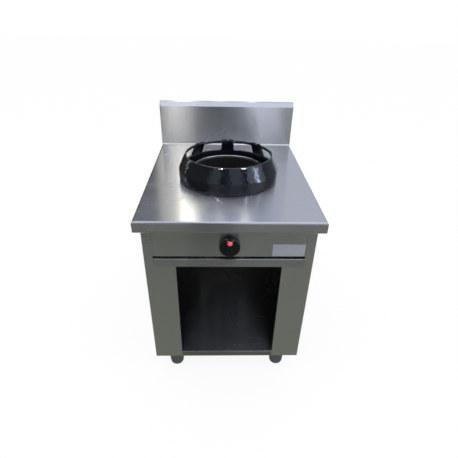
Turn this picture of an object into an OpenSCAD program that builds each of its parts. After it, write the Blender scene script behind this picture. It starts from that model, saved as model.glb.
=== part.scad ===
// Free-standing gas wok range: a stainless cabinet on adjustable feet with a worktop and splashback,
// one burner under a cast wok ring, a pull-out drip tray and open storage below.
// Millimetres. X to the right, Y to the rear, Z up, origin on the floor under the middle of the range.

/* [Worktop] */
// Width of the worktop and of the whole range
top_w = 600; // [540:1:800]
// Depth of the worktop, front edge to rear edge
top_d = 800; // [740:1:950]
// Height of the worktop above the floor
top_h = 710; // [680:1:900]
// Height of the turned-down edge
edge_h = 40; // [25:1:45]
// Thickness of the worktop and splashback sheet
top_t = 1.5; // [1:0.1:2.5]
// Outer radius of the worktop's bends
edge_r = 7.5; // [3:0.5:8]
// Width of the return under the turned-down edge
edge_return = 10; // [7:1:12]
// Width of the crown of each stiffening channel under the worktop
stiffener_w = 36; // [24:1:44]
// Depth of each stiffening channel
stiffener_h = 25; // [15:1:32]

/* [Splashback] */
// Height of the splashback above the worktop
splash_h = 185; // [100:1:300]
// Depth of the splashback, front to rear
splash_d = 31; // [24:1:50]
// Size of the slope between its front and its top
splash_slope = 17; // [8:0.5:20]
// Outer radius of the bends at its two ends
splash_end_r = 3; // [2.6:0.1:5]

/* [Cabinet] */
// How far the worktop stands past each side of the cabinet
side_overhang = 15; // [14:1:30]
// How far the worktop stands past the front of the cabinet
front_overhang = 40; // [38:1:60]
// How far the worktop stands past the rear of the cabinet
rear_overhang = 20; // [18:1:40]
// Thickness of the cabinet sheet
cab_t = 1.2; // [0.8:0.1:2]
// Outer radius of the cabinet's bends
cab_r = 3; // [2.2:0.1:5]
// Height of the cabinet's lower edge above the floor
cab_lift = 77; // [65:1:140]
// Width of the front stiles beside the control panel
stile_w = 31; // [28:1:45]
// Width of the front pillars beside the storage opening
pillar_w = 105; // [70:1:130]
// Depth of the pillars' inner return
pillar_return = 22; // [12:1:30]
// Width of the returns along the rear and lower edges of the sides
side_return = 23; // [16:1:30]
// Height of the shelf's front lip
shelf_lip_h = 25; // [18:1:30]

/* [Control panel] */
// Depth of the panel's lower edge below the worktop
panel_drop = 151; // [148:1:160]
// Depth of the panel's upper and lower returns
panel_return = 16; // [10:1:20]
// Open seam at each side of the panel
panel_seam = 0.5; // [0.3:0.1:1.5]

/* [Drip tray] */
// Height of the tray's front strip
tray_front_h = 31; // [28:1:45]
// Open slot between the panel and the tray's front strip
tray_slot = 8; // [6:1:12]
// Gap at each end of the tray's front strip
tray_end_gap = 1; // [0.5:0.5:4]
// Depth of the tray, front to rear
tray_d = 560; // [460:1:620]
// Thickness of the tray sheet
tray_t = 1.2; // [0.8:0.1:2]
// Depth of the folded grip along the top of the front strip
tray_grip = 10; // [7:0.5:14]
// How far the front strip stands proud of the cabinet
tray_proud = 2; // [0.5:0.5:5]
// Width of the ledge that carries the tray
runner_ledge = 46; // [42:1:60]

/* [Wok ring] */
// Distance of the ring's centre from the front edge of the worktop
ring_back = 361; // [350:1:400]
// Outer radius of the ring's skirt
ring_r = 184; // [178:1:190]
// Height of the ring above the worktop
ring_h = 94; // [88:1:110]
// Height of the skirt below the shoulder
ring_skirt_h = 38; // [28:1:44]
// How far the skirt is tucked in at its foot
ring_tuck = 7; // [3:0.5:10]
// Radius of the shoulder between skirt and cone
ring_shoulder_r = 20; // [12:1:30]
// Lean of the cone from upright, in degrees
ring_slope = 25; // [15:1:30]
// Wall of the casting
ring_wall = 8; // [6:0.5:10]
// Height of the windows' sill above the worktop
ring_sill_h = 49; // [46:1:58]
// Height of the hoop left above the windows
ring_hoop_h = 10; // [8:0.5:16]
// Width of the posts between the windows, in degrees
ring_post_angle = 17; // [10:1:24]
// Height of the raised pads on the posts
ring_pad_h = 3; // [2:0.5:5]

/* [Burner] */
// Outer radius of the burner well's collar
well_r = 136; // [130:1:142]
// Height of the well's rim above the worktop
well_rise = 41; // [30:1:44]
// Depth of the well below the worktop
well_drop = 55; // [45:1:58]
// Thickness of the well's sheet
well_t = 1.5; // [1:0.1:2]
// Radius of the rolled rim of the well
well_bead_r = 2.5; // [2:0.1:3.5]
// Outer radius of the burner head
head_r = 70; // [60:1:76]
// Wall of the burner casting
burner_wall = 6; // [5:0.5:8]
// Depth of the cap's top below the worktop
cap_drop = 8; // [4:1:16]
// Number of flame ports around the cap
port_count = 28; // [16:1:36]
// Outer radius of the mixing tube
mix_r = 24; // [20:0.5:27]
// Distance of the mixing tube's mouth in front of the ring's centre
mix_reach = 190; // [180:1:200]

/* [Gas line] */
// Depth of the gas line and the knob's axis below the worktop
gas_drop = 103; // [92:1:106]
// Outer radius of the supply pipe
pipe_r = 7.5; // [6:0.5:9]
// Radius of the supply pipe's bend at its centreline
pipe_bend_r = 40; // [28:1:60]
// Distance of the supply pipe from the cabinet's right side
pipe_inset = 45; // [40:1:60]
// Outer radius of the inlet's thread
inlet_r = 10.45; // [8:0.05:12]
// Outer radius of the feed pipe to the burner
feed_r = 5; // [4:0.5:6]
// Outer radius of the pilot tube
pilot_tube_r = 2; // [1.5:0.25:2.5]
// Outer radius of the thermocouple lead
lead_r = 1.5; // [1:0.25:2]

/* [Knob] */
// Radius of the knob's skirt
knob_r = 34; // [30:0.5:36]
// Distance of the knob's front from the panel
knob_l = 30; // [28:0.5:32]
// Width of the grip bar
grip_w = 20; // [20:0.5:24]
// Radius of the pointer set into the grip bar
pointer_r = 8; // [6:0.25:8.5]
// Distance of the pointer's middle from the knob's rim
pointer_inset = 13; // [12:0.5:15]
// Height of the pointer's dome above the grip bar
pointer_proud = 5; // [4:0.5:6]

/* [Feet] */
// Radius of the leg tubes
leg_r = 28; // [24:0.5:32]
// Wall of the leg tubes
leg_wall = 2; // [1.5:0.1:3]
// Height of the foot below its leg tube
foot_h = 26; // [22:1:34]
// Radius of the foot's screw stem
stem_r = 6; // [5:0.5:8]
// Distance of the legs from the cabinet's sides
leg_inset_x = 77; // [60:1:100]
// Distance of the legs from the cabinet's front and rear
leg_inset_y = 43; // [43:1:80]

/* [Hidden] */
$fn = 64;

// Overrun of every cut past the faces that it opens
over = 2;
// Gap between separate pieces that seat on each other
seat = 0.3;
// Radial clearance of turning and sliding shafts
run = 0.05;
// Radial clearance of holes round bolts and pipes
hole_gap = 0.3;
// What a corner cut at 45 degrees loses when its faces are set in, as a share of the inset
slope_inset_share = 2 - sqrt(2);

// Main planes and places
lip_y = -top_d / 2;
rear_y = top_d / 2;
cab_x = top_w / 2 - side_overhang;
cab_front = lip_y + front_overhang;
cab_rear = rear_y - rear_overhang;
under_z = top_h - top_t;
cab_top = under_z - seat;
inner_x = cab_x - cab_t;
panel_x = cab_x - stile_w;
opening_x = cab_x - pillar_w;
panel_z = top_h - panel_drop;
tray_top = panel_z - tray_slot;
tray_z = tray_top - tray_front_h;
pillar_top = tray_z - 5 * seat;
ring_y = lip_y + ring_back;
gas_z = top_h - gas_drop;

// Shelf
shelf_top = cab_lift + shelf_lip_h;
shelf_z = shelf_top - cab_t;
shelf_rear = cab_rear - 2 * cab_t - 2 * seat;

// Rear sheet, its screws and its air slots
screw_r = 2;
screw_head_r = 4;
screw_head_h = 2.2;
screw_count = 5;
screw_end = 45;
slot_w = 60;
slot_h = 6;
slot_columns = 4;
slot_rows = 3;
slot_pitch_x = 84;
slot_pitch_z = 20;
slot_drop = 100;
back_inner = cab_rear - 2 * cab_t;
screw_x = cab_x - side_return / 2;
screw_bottom = cab_lift + screw_end;
screw_step = (cab_top - cab_lift - 2 * screw_end) / (screw_count - 1);

// Stiffening channels under the worktop
stiffener_flange = 14;
stiffener_t = 1.5;
stiffener_inset = 80;
stiffener_x = cab_x - stiffener_inset;
stiffener_end = 42;

// Drip tray and its runners
tray_x = panel_x - tray_end_gap;
tray_wing = 7;
tray_body_x = tray_x - tray_wing;
tray_front = cab_front - tray_proud;
tray_bend_r = 3;
tray_wall_drop = 3;
runner_t = 1.5;
runner_h = 26;
runner_front = 12;
runner_tail = 30;
runner_z = tray_z - seat;

// Wok ring
ring_window_top = ring_h - ring_hoop_h;
ring_pitch = 45;
ring_window_angle = ring_pitch - ring_post_angle;
ring_pad_w = 5;
ring_notch_w = 7;
ring_notch_h = 5;
ring_tuck_h = 18;
arc_steps = 8;
ring_mid_r = ring_r - ring_shoulder_r;
ring_wall_mid_r = ring_shoulder_r - ring_wall / 2;
ring_slant_h = ring_h - ring_wall / 2 - ring_skirt_h - ring_wall_mid_r * sin(ring_slope);
ring_slant = ring_slant_h / cos(ring_slope);
ring_rim_r = ring_mid_r + ring_wall_mid_r * cos(ring_slope) - ring_slant * sin(ring_slope);
ring_rim_z = ring_h - ring_wall / 2;

// Burner
well_flange = 22;
well_throat_r = 112;
cap_t = 9;
cap_dome = 7;
cap_spigot_h = 9;
cap_spigot_wall = 5;
port_w = 3.5;
port_h = 4;
head_h = 20;
chamber_r = 44;
bowl_h = 24;
spine_w = 32;
foot_w = 80;
foot_d = 26;
foot_t = 9;
tube_sink = 3;
rail_offset = 62;
rail_w = 22;
rail_t = 2.5;
rail_bend_r = 4;
burner_bolt_r = 3;
burner_bolt_x = 29;
burner_bolt_head_r = 5.8;
burner_bolt_head_h = 4;
burner_bolt_tail = 10;
cap_z = top_h - cap_drop - cap_dome - cap_t;
head_z = cap_z - head_h;
bowl_z = head_z - bowl_h;
burner_base = gas_z - mix_r - foot_t + tube_sink;
rail_top = burner_base;
mouth_flare = 8;
mouth_r = mix_r + mouth_flare;
mouth_l = 34;
mouth_plate = 4;
air_hole_r = 5.5;
air_hole_count = 3;
air_hole_at = 21;
mouth_y = ring_y - mix_reach;

// Gas line fittings
pipe_x = cab_x - pipe_inset;
nozzle_r = 4;
nozzle_l = 12;
injector_shank_r = 8;
injector_hex_r = 12;
injector_hex_l = 12;
shutter_t = 1.5;
shutter_tab_w = 10;
shutter_tab_l = 8;
nut_hex_r = 11;
nut_l = 13;
valve_r = 16;
valve_gap = 8;
valve_l = 46;
valve_outlet_r = 9;
valve_outlet_l = 12;
valve_inlet_r = 10;
valve_inlet_x = 26;
valve_bonnet_r = 21;
valve_bonnet_t = 5;
port_r = 5;
port_drop = 18;
port_x = 8;
neck_r = 9;
neck_out = 5;
valve_nut_r = 12.5;
valve_nut_h = 4;
spindle_r = 4;
spindle_flat = 3;
spindle_end = 12;
spindle_in = 20;
valve_front = cab_front + cab_t + valve_gap;
valve_rear = valve_front + valve_l;
valve_y = valve_front + valve_l / 2;
feed_start = valve_rear + valve_outlet_l;
supply_y = valve_y;
inlet_hex_r = 15;
inlet_bore_r = 6;
inlet_hex_l = 14;
supply_rear = back_inner - inlet_hex_l;
inlet_tail = 2;
inlet_shoulder_step = 1.5;
inlet_shoulder_r = inlet_r + inlet_shoulder_step;
locknut_r = 16;
locknut_t = 5;

// Pilot flame and its sensor
pilot_x = 70;
sensor_x = 86;
pilot_back = 22;
bracket_t = 1.5;
bracket_w = 34;
bracket_foot = 18;
pilot_shelf_rise = 75;
pilot_body_r = 4;
pilot_hood_r = 6;
pilot_hood_h = 12;
pilot_collar_r = 7;
pilot_collar_h = 4;
pilot_tail = 14;
pilot_rise = 32;
sensor_rod_r = 2.5;
sensor_collar_r = 5;
sensor_rise = 40;
tube_bend_r = 10;
tube_run_drop = 38;
lead_run_drop = 50;
tube_step_y = 140;
lead_step_y = 130;
tube_rise_drop = 14;
lead_rise_drop = 20;
pilot_shelf_z = rail_top + pilot_shelf_rise;
pilot_y = ring_y - rail_offset + pilot_back;
bracket_y = ring_y - rail_offset;

// Knob, in distances from the panel's face along the axis
bezel_margin = 1;
bezel_r = knob_r + bezel_margin;
bezel_t = 3;
bezel_hole_r = 15;
knob_back = bezel_t + 2 * seat;
knob_skirt_l = 18;
knob_edge_r = 5;
knob_skirt_edge_r = 2;
knob_cavity_l = 6;
pointer_sink = 8;
pointer_edge = 1;
pointer_up = knob_r - pointer_inset;
pointer_floor = knob_l - pointer_sink;

// Legs and feet
leg_plate_margin = 10;
leg_plate_w = 2 * (leg_r + leg_plate_margin);
leg_plate_t = 3;
leg_plug_h = 12;
stem_l = 50;
foot_step = 1;
foot_side_r = leg_r - foot_step;
foot_pad_r = 14;
foot_edge_h = 16;
leg_places = [[-1, -1], [1, -1], [-1, 1], [1, 1]];
leg_x = cab_x - leg_inset_x;
leg_front_y = cab_front + leg_inset_y;
leg_rear_y = cab_rear - leg_inset_y;

// Colours of the finishes
steel = "#b9bab6";
dark_steel = "#8b8c88";
enamel = "#17191c";
iron = "#3a3a3b";
brass = "#b8933f";
copper = "#b0694a";
black = "#1a1a1b";
red = "#d8343d";
galvanised = "#9aa0a3";

// Rectangle with round corners, from its lower left corner
module round_rect(w, h, r) {
    translate([r, 0]) square([w - 2 * r, h]);
    translate([0, r]) square([w, h - 2 * r]);
    for (x = [r, w - r], y = [r, h - r]) translate([x, y]) circle(r);
}

// Slot with round ends, from its lower left corner
module long_slot(w, h) {
    translate([h / 2, 0]) square([w - h, h]);
    for (x = [h / 2, w - h / 2]) translate([x, h / 2]) circle(h / 2);
}

// Cross-section of a bent sheet that runs round a rectangle
module sheet_loop(w, h, t, r) {
    difference() {
        round_rect(w, h, r);
        translate([t, t]) round_rect(w - 2 * t, h - 2 * t, r - t);
    }
}

// Rectangle whose upper left corner is round
module corner_block(w, h, r) {
    translate([r, 0]) square([w - r, h]);
    square([w, h - r]);
    translate([r, h - r]) intersection() {
        circle(r);
        translate([-r, 0]) square(r);
    }
}

// Rectangle whose upper left corner is cut off at 45 degrees
module sloped_block(w, h, cut) {
    polygon([[0, 0], [w, 0], [w, h], [cut, h], [0, h - cut]]);
}

// Section of a sheet folded once: a leg of length a along the top and a leg of length b down the left
module fold_section(a, b, t, r) {
    difference() {
        corner_block(a, b, r);
        translate([t, -over]) corner_block(a + over, b - t + over, r - t);
    }
}

// Half section of a turned disc with a round front edge
module disc_section(r, low, high, edge) {
    translate([0, low]) {
        square([r - edge, high - low]);
        square([r, high - low - edge]);
        translate([r - edge, high - low - edge]) intersection() {
            circle(edge);
            square(edge);
        }
    }
}

// Block centred in X and Y whose edges along X and Y are round
module soft_block(w, d, h, r) {
    intersection() {
        translate([-w / 2, -d / 2, 0]) rotate([90, 0, 90]) linear_extrude(w) round_rect(d, h, r);
        translate([-w / 2, d / 2, 0]) rotate([90, 0, 0]) linear_extrude(d) round_rect(w, h, r);
    }
}

// Hexagonal prism with flats r from its axis
module hex(r, l) {
    cylinder(r = r / cos(30), h = l, $fn = 6);
}

// Turns a shape made along +Z so that it runs to the rear
module to_rear() {
    rotate([-90, 0, 0]) children();
}

// Puts a shape made along +Z on the knob's axis, outward from the panel's face
module on_knob_axis() {
    translate([0, cab_front, gas_z]) rotate([90, 0, 0]) children();
}

function unit(v) = v / norm(v);

// Straight round bar between two points
module bar(a, b, r) {
    d = b - a;
    translate(a) rotate([0, acos(d.z / norm(d)), atan2(d.y, d.x)]) cylinder(r = r, h = norm(d));
}

// Round bend at point p from direction u to direction v
module bend(p, u, v, r, bend_r) {
    turn = acos(u * v);
    n = unit(v - (u * v) * u);
    w = cross(-n, u);
    c = p - u * bend_r * tan(turn / 2) + n * bend_r;
    multmatrix([[-n.x, u.x, w.x, c.x], [-n.y, u.y, w.y, c.y], [-n.z, u.z, w.z, c.z], [0, 0, 0, 1]])
        rotate_extrude(angle = turn) translate([bend_r, 0]) circle(r);
}

// Bent tube along a list of points
module tube_run(points, r, bend_r) {
    last = len(points) - 1;
    along = [for (i = [0 : last - 1]) unit(points[i + 1] - points[i])];
    cut = [for (i = [0 : last]) i == 0 || i == last ? 0 : bend_r * tan(acos(along[i - 1] * along[i]) / 2)];
    for (i = [0 : last - 1]) bar(points[i] + along[i] * cut[i], points[i + 1] - along[i] * cut[i + 1], r);
    for (i = [1 : last - 1]) bend(points[i], along[i - 1], along[i], r, bend_r);
}

// Worktop: folded pan, open below, with the round hole for the burner well
module worktop() {
    inner_w = top_w - 2 * top_t;
    inner_d = top_d - 2 * top_t;
    mouth_w = inner_w - 2 * edge_return;
    mouth_d = inner_d - 2 * edge_return;
    color(steel) translate([0, 0, top_h - edge_h]) difference() {
        soft_block(top_w, top_d, edge_h, edge_r);
        translate([0, 0, top_t]) soft_block(inner_w, inner_d, edge_h - 2 * top_t, edge_r - top_t);
        translate([-mouth_w / 2, -mouth_d / 2, -over]) cube([mouth_w, mouth_d, top_t + 2 * over]);
        translate([0, ring_y, 0]) cylinder(r = well_r + hole_gap, h = edge_h + over);
    }
}

// Hat channel under one side of the worktop
module stiffener(side) {
    crown = stiffener_w;
    whole = crown + 2 * stiffener_flange;
    from = cab_front + stiffener_end;
    length = cab_rear - stiffener_end - from;
    color(galvanised) translate([side * stiffener_x, from, under_z]) rotate([-90, 0, 0])
        linear_extrude(length) {
        difference() {
            translate([-crown / 2, -cab_r]) round_rect(crown, stiffener_h + cab_r, cab_r);
            translate([-crown / 2 + stiffener_t, -cab_r])
                round_rect(crown - 2 * stiffener_t, stiffener_h + cab_r - stiffener_t, cab_r - stiffener_t);
            translate([-crown, -2 * cab_r]) square([2 * crown, 2 * cab_r]);
        }
        for (s = [-1, 1]) translate([s * (whole / 2 - stiffener_flange / 2) - stiffener_flange / 2, 0])
            square([stiffener_flange, stiffener_t]);
    }
}

module worktop_stiffener_left() { stiffener(-1); }
module worktop_stiffener_right() { stiffener(1); }

// Form of the splashback: inset from the outer faces, and run on below and to the rear
module splash_form(inset, more) {
    w = top_w - 2 * inset;
    d = splash_d - inset + more;
    h = splash_h - inset + more;
    translate([-w / 2, rear_y - splash_d + inset, top_h - more]) intersection() {
        rotate([90, 0, 90]) linear_extrude(w) sloped_block(d, h, splash_slope - inset * slope_inset_share);
        linear_extrude(h) difference() {
            round_rect(w, d + splash_end_r, splash_end_r - inset);
            translate([-over, d]) square([w + 2 * over, splash_end_r + over]);
        }
    }
}

// Splashback: front, slope, top and ends folded from one sheet, open at the rear and below
module splashback() {
    color(steel) difference() {
        splash_form(0, 0);
        splash_form(top_t, over);
    }
}

// Flat sheet that closes the rear of the splashback
module splashback_cover() {
    w = top_w - 2 * top_t - 2 * seat;
    h = splash_h - top_t - seat;
    color(steel) translate([-w / 2, rear_y - top_t, top_h]) cube([w, top_t, h]);
}

// Upright fold of one side: wall with a rear return and a front return of the given width
module side_fold(front_w, low, high) {
    depth = cab_rear - cab_front;
    wide = max(front_w, side_return) + 2 * cab_r;
    translate([-cab_x, cab_front, low]) linear_extrude(high - low) difference() {
        sheet_loop(wide, depth, cab_t, cab_r);
        translate([front_w, -over]) square([wide, depth / 2 + over]);
        translate([side_return, depth / 2 - over]) square([wide, depth / 2 + 2 * over]);
    }
}

// One side of the cabinet, drawn as the left one
module side_panel() {
    difference() {
        union() {
            side_fold(pillar_w, cab_lift, pillar_top);
            side_fold(stile_w, pillar_top, cab_top);
            translate([-opening_x - cab_t, cab_front, shelf_top + seat])
                cube([cab_t, pillar_return, pillar_top - shelf_top - seat]);
            translate([-cab_x, cab_front, pillar_top - cab_t]) cube([pillar_w, pillar_return, cab_t]);
            translate([-cab_x, cab_front, cab_lift])
                cube([side_return, cab_rear - cab_front, cab_t]);
        }
        for (i = [0 : screw_count - 1]) translate([-screw_x, cab_rear + over, screw_bottom + i * screw_step])
            rotate([90, 0, 0]) cylinder(r = screw_r + hole_gap, h = cab_t + 2 * over);
    }
}

module left_side_panel() { color(steel) side_panel(); }
module right_side_panel() { color(steel) mirror([1, 0, 0]) side_panel(); }

// Rear sheet, seated on the rear returns of the sides, with air slots and the gas inlet's hole
module back_panel() {
    w = 2 * (cab_x - cab_r - seat);
    bottom = shelf_top + seat;
    color(dark_steel) difference() {
        translate([-w / 2, back_inner, bottom]) cube([w, cab_t, cab_top - bottom]);
        for (s = [-1, 1], i = [0 : screw_count - 1])
            translate([s * screw_x, cab_rear, screw_bottom + i * screw_step])
                rotate([90, 0, 0]) cylinder(r = screw_r + hole_gap, h = 2 * cab_t + over);
        for (i = [0 : slot_columns - 1], j = [0 : slot_rows - 1])
            translate([(i - (slot_columns - 1) / 2) * slot_pitch_x - slot_w / 2, back_inner - over,
                top_h - slot_drop - j * slot_pitch_z])
                rotate([90, 0, 0]) mirror([0, 0, 1]) linear_extrude(cab_t + 2 * over)
                    long_slot(slot_w, slot_h);
        translate([pipe_x, back_inner - over, gas_z]) to_rear()
            cylinder(r = inlet_shoulder_r + hole_gap, h = cab_t + 2 * over);
    }
}

// Pan-head screws through the rear returns into the back panel
module back_panel_screws() {
    color(galvanised) for (s = [-1, 1], i = [0 : screw_count - 1])
        translate([s * screw_x, cab_rear, screw_bottom + i * screw_step]) {
            to_rear() cylinder(r = screw_head_r, h = screw_head_h);
            rotate([90, 0, 0]) cylinder(r = screw_r, h = 2 * cab_t);
        }
}

// Floor of the storage space, with its lip between the pillars and turned-down edges
module bottom_shelf() {
    floor_x = inner_x - seat;
    floor_y = cab_front + cab_r + seat;
    lip_x = opening_x - seat;
    skirt = shelf_lip_h - cab_t - seat;
    color(steel) {
        translate([-floor_x, floor_y, shelf_z]) cube([2 * floor_x, shelf_rear - floor_y, cab_t]);
        translate([-lip_x, cab_front, cab_lift]) rotate([90, 0, 90]) linear_extrude(2 * lip_x)
            fold_section(shelf_lip_h, shelf_lip_h, cab_t, cab_r);
        for (s = [0, 1]) translate([-floor_x + s * (2 * floor_x - cab_t), floor_y, shelf_z - skirt + cab_t])
            cube([cab_t, shelf_rear - floor_y, skirt]);
        translate([-floor_x, shelf_rear - cab_t, shelf_z - skirt + cab_t]) cube([2 * floor_x, cab_t, skirt]);
    }
}

// Front panel with its returns and the hole for the gas tap's neck
module control_panel() {
    half = panel_x - panel_seam;
    height = cab_top - panel_z;
    color(steel) difference() {
        translate([-half, cab_front, panel_z]) rotate([90, 0, 90]) linear_extrude(2 * half) difference() {
            sheet_loop(panel_return + 2 * cab_r, height, cab_t, cab_r);
            translate([panel_return, -over]) square([4 * cab_r, height + 2 * over]);
        }
        on_knob_axis() translate([0, 0, -cab_t - over]) cylinder(r = neck_r + hole_gap, h = cab_t + 2 * over);
    }
}

// Angle ledge along one side that carries the drip tray
module tray_runner(side) {
    from = cab_front + pillar_return + runner_front;
    length = tray_front + tray_d + runner_tail - from;
    color(galvanised) mirror([side < 0 ? 1 : 0, 0, 0])
        translate([inner_x, from + length, runner_z - runner_t + runner_h]) rotate([90, 0, 0])
            linear_extrude(length) rotate(180) fold_section(runner_ledge, runner_h, runner_t, cab_r);
}

module tray_runner_left() { tray_runner(-1); }
module tray_runner_right() { tray_runner(1); }

// Pull-out pan with a front strip wider than the pan and a folded grip along its top
module drip_tray() {
    wall_h = tray_front_h - tray_wall_drop;
    pan_d = tray_d - tray_t / 2;
    color(steel) {
        translate([0, tray_front + tray_t / 2 + pan_d / 2, tray_z]) difference() {
            soft_block(2 * tray_body_x, pan_d, wall_h + tray_bend_r, tray_bend_r);
            translate([0, 0, tray_t]) soft_block(2 * (tray_body_x - tray_t), pan_d - 2 * tray_t,
                wall_h + 2 * tray_bend_r, tray_bend_r - tray_t);
            translate([-tray_body_x - over, -pan_d / 2 - over, wall_h])
                cube([2 * (tray_body_x + over), pan_d + 2 * over, tray_bend_r + over]);
        }
        translate([-tray_x, tray_front, tray_z]) rotate([90, 0, 90]) linear_extrude(2 * tray_x)
            fold_section(tray_grip, tray_front_h, tray_t, tray_bend_r);
    }
}

// Angle bar across the cabinet that carries the burner
module burner_rail(side) {
    half = inner_x - seat;
    middle = ring_y + side * rail_offset;
    color(galvanised) difference() {
        translate([-half, middle, rail_top - rail_w]) rotate([90, 0, 90]) linear_extrude(2 * half)
            mirror([side < 0 ? 0 : 1, 0]) translate([-rail_w / 2, 0])
                fold_section(rail_w, rail_w, rail_t, rail_bend_r);
        for (s = [-1, 1]) translate([s * burner_bolt_x, middle, rail_top - rail_t - over])
            cylinder(r = burner_bolt_r + hole_gap, h = rail_t + 2 * over);
    }
}

module burner_rail_front() { burner_rail(-1); }
module burner_rail_rear() { burner_rail(1); }

// Collar round the burner, with a flange on the worktop, a rolled rim and an inward lip below
module burner_well() {
    inside = well_r - well_t;
    color(steel) translate([0, ring_y, top_h]) rotate_extrude() {
        translate([inside, -well_drop]) square([well_t, well_drop + well_rise - well_bead_r]);
        translate([inside, 0]) square([well_t + well_flange, well_t]);
        translate([well_throat_r, -well_drop]) square([well_r - well_throat_r, well_t]);
        translate([well_r - well_bead_r, well_rise - well_bead_r]) circle(well_bead_r);
    }
}

// Section of the ring's wall: tucked foot, skirt, round shoulder, leaning cone and round rim
function ring_foot(inset) = [for (i = [0 : arc_steps]) let (a = 90 * i / arc_steps)
    [ring_r - inset - ring_tuck * (1 - sin(a)), ring_tuck_h * (1 - cos(a))]];
function ring_side(inset) = [for (i = [0 : arc_steps])
    let (a = ring_slope * i / arc_steps, r = ring_shoulder_r - inset)
    [ring_mid_r + r * cos(a), ring_skirt_h + r * sin(a)]];
function ring_rim() = [for (i = [0 : 2 * arc_steps]) let (a = ring_slope + 180 * i / (2 * arc_steps))
    [ring_rim_r + ring_wall / 2 * cos(a), ring_rim_z + ring_wall / 2 * sin(a)]];
function reversed(list) = [for (i = [len(list) - 1 : -1 : 0]) list[i]];

// Cast ring: closed wall in front, windows between the posts at the rear, notched pads on the posts
module wok_ring() {
    outside = concat(ring_foot(0), ring_side(0), ring_rim());
    section = concat(outside, reversed(ring_side(ring_wall)), reversed(ring_foot(ring_wall)));
    color(enamel) translate([0, ring_y, top_h]) difference() {
        union() {
            rotate_extrude($fn = 128) polygon(section);
            for (i = [-2 : 2]) rotate([0, 0, 90 + i * ring_pitch - ring_post_angle / 2])
                rotate_extrude(angle = ring_post_angle) translate([ring_rim_r - ring_pad_w / 2, ring_rim_z])
                    square([ring_pad_w, ring_wall / 2 + ring_pad_h]);
        }
        for (i = [-2 : 1]) rotate([0, 0, 90 + i * ring_pitch + ring_post_angle / 2])
            rotate_extrude(angle = ring_window_angle) translate([ring_rim_r - 2 * ring_wall, ring_sill_h])
                square([ring_r - ring_rim_r + 3 * ring_wall, ring_window_top - ring_sill_h]);
        for (i = [-2 : 2]) rotate([0, 0, i * ring_pitch])
            translate([-ring_notch_w / 2, ring_rim_r - ring_wall, ring_h + ring_pad_h - ring_notch_h])
                cube([ring_notch_w, 2 * ring_wall, ring_notch_h + over]);
    }
}

// Cast burner: head bowl, mixing chamber, feet and mixing tube with its air mouth
module burner_body() {
    wall = burner_wall;
    tube_l = mix_reach - mouth_l;
    color(iron) difference() {
        union() {
            translate([0, ring_y, 0]) rotate_extrude() polygon([
                [0, burner_base], [chamber_r, burner_base], [chamber_r, bowl_z],
                [head_r, head_z], [head_r, cap_z], [0, cap_z]]);
            translate([-spine_w / 2, ring_y - rail_offset, burner_base])
                cube([spine_w, 2 * rail_offset, foot_t]);
            for (s = [-1, 1]) translate([-foot_w / 2, ring_y + s * rail_offset - foot_d / 2, burner_base])
                cube([foot_w, foot_d, foot_t]);
            translate([0, mouth_y, gas_z]) to_rear() {
                cylinder(r = mouth_r, h = mouth_l);
                translate([0, 0, mouth_l]) cylinder(r = mix_r, h = tube_l);
            }
        }
        translate([0, ring_y, 0]) rotate_extrude() polygon([
            [0, burner_base + foot_t], [chamber_r - wall, burner_base + foot_t], [chamber_r - wall, bowl_z],
            [head_r - wall, head_z], [head_r - wall, cap_z + over], [0, cap_z + over]]);
        translate([0, mouth_y + mouth_plate, gas_z]) to_rear() {
            cylinder(r = mouth_r - wall, h = mouth_l - mouth_plate - wall);
            cylinder(r = mix_r - wall, h = mix_reach - mouth_plate);
        }
        translate([0, mouth_y - over, gas_z]) to_rear() {
            cylinder(r = injector_shank_r + hole_gap, h = mouth_plate + 2 * over);
            air_holes(mouth_plate + 2 * over);
        }
        for (x = [-1, 1], y = [-1, 1])
            translate([x * burner_bolt_x, ring_y + y * rail_offset, burner_base - over])
                cylinder(r = burner_bolt_r + hole_gap, h = foot_t + 2 * over);
    }
}

// Ring of air holes round the gas line's axis
module air_holes(l) {
    for (i = [0 : air_hole_count - 1]) rotate([0, 0, i * 360 / air_hole_count]) translate([air_hole_at, 0, 0])
        cylinder(r = air_hole_r, h = l);
}

// Loose burner cap: domed plate over a spigot cut by the flame ports
module burner_cap() {
    spigot_r = head_r - burner_wall - hole_gap;
    dome_r = (head_r * head_r + cap_dome * cap_dome) / (2 * cap_dome);
    color(iron) translate([0, ring_y, cap_z + seat]) difference() {
        union() {
            cylinder(r = head_r, h = cap_t - seat);
            intersection() {
                translate([0, 0, cap_t + cap_dome - seat - dome_r]) sphere(dome_r, $fn = 128);
                translate([0, 0, cap_t / 2]) cylinder(r = head_r, h = cap_t + cap_dome);
            }
            translate([0, 0, -cap_spigot_h]) cylinder(r = spigot_r, h = cap_spigot_h + cap_t / 2);
        }
        translate([0, 0, -cap_spigot_h - over])
            cylinder(r = spigot_r - cap_spigot_wall, h = cap_spigot_h + over);
        for (i = [0 : port_count - 1]) rotate([0, 0, i * 360 / port_count])
            translate([spigot_r - 2 * cap_spigot_wall, -port_w / 2, -over])
                cube([head_r, port_w, port_h + over]);
    }
}

// Bolts that hold the burner's feet to the rails
module burner_bolts() {
    top = burner_base + foot_t;
    color(galvanised) for (x = [-1, 1], y = [-1, 1])
        translate([x * burner_bolt_x, ring_y + y * rail_offset, top]) {
            hex(burner_bolt_head_r, burner_bolt_head_h);
            translate([0, 0, -foot_t - rail_t - burner_bolt_tail])
                cylinder(r = burner_bolt_r, h = foot_t + rail_t + burner_bolt_tail);
        }
}

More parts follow.
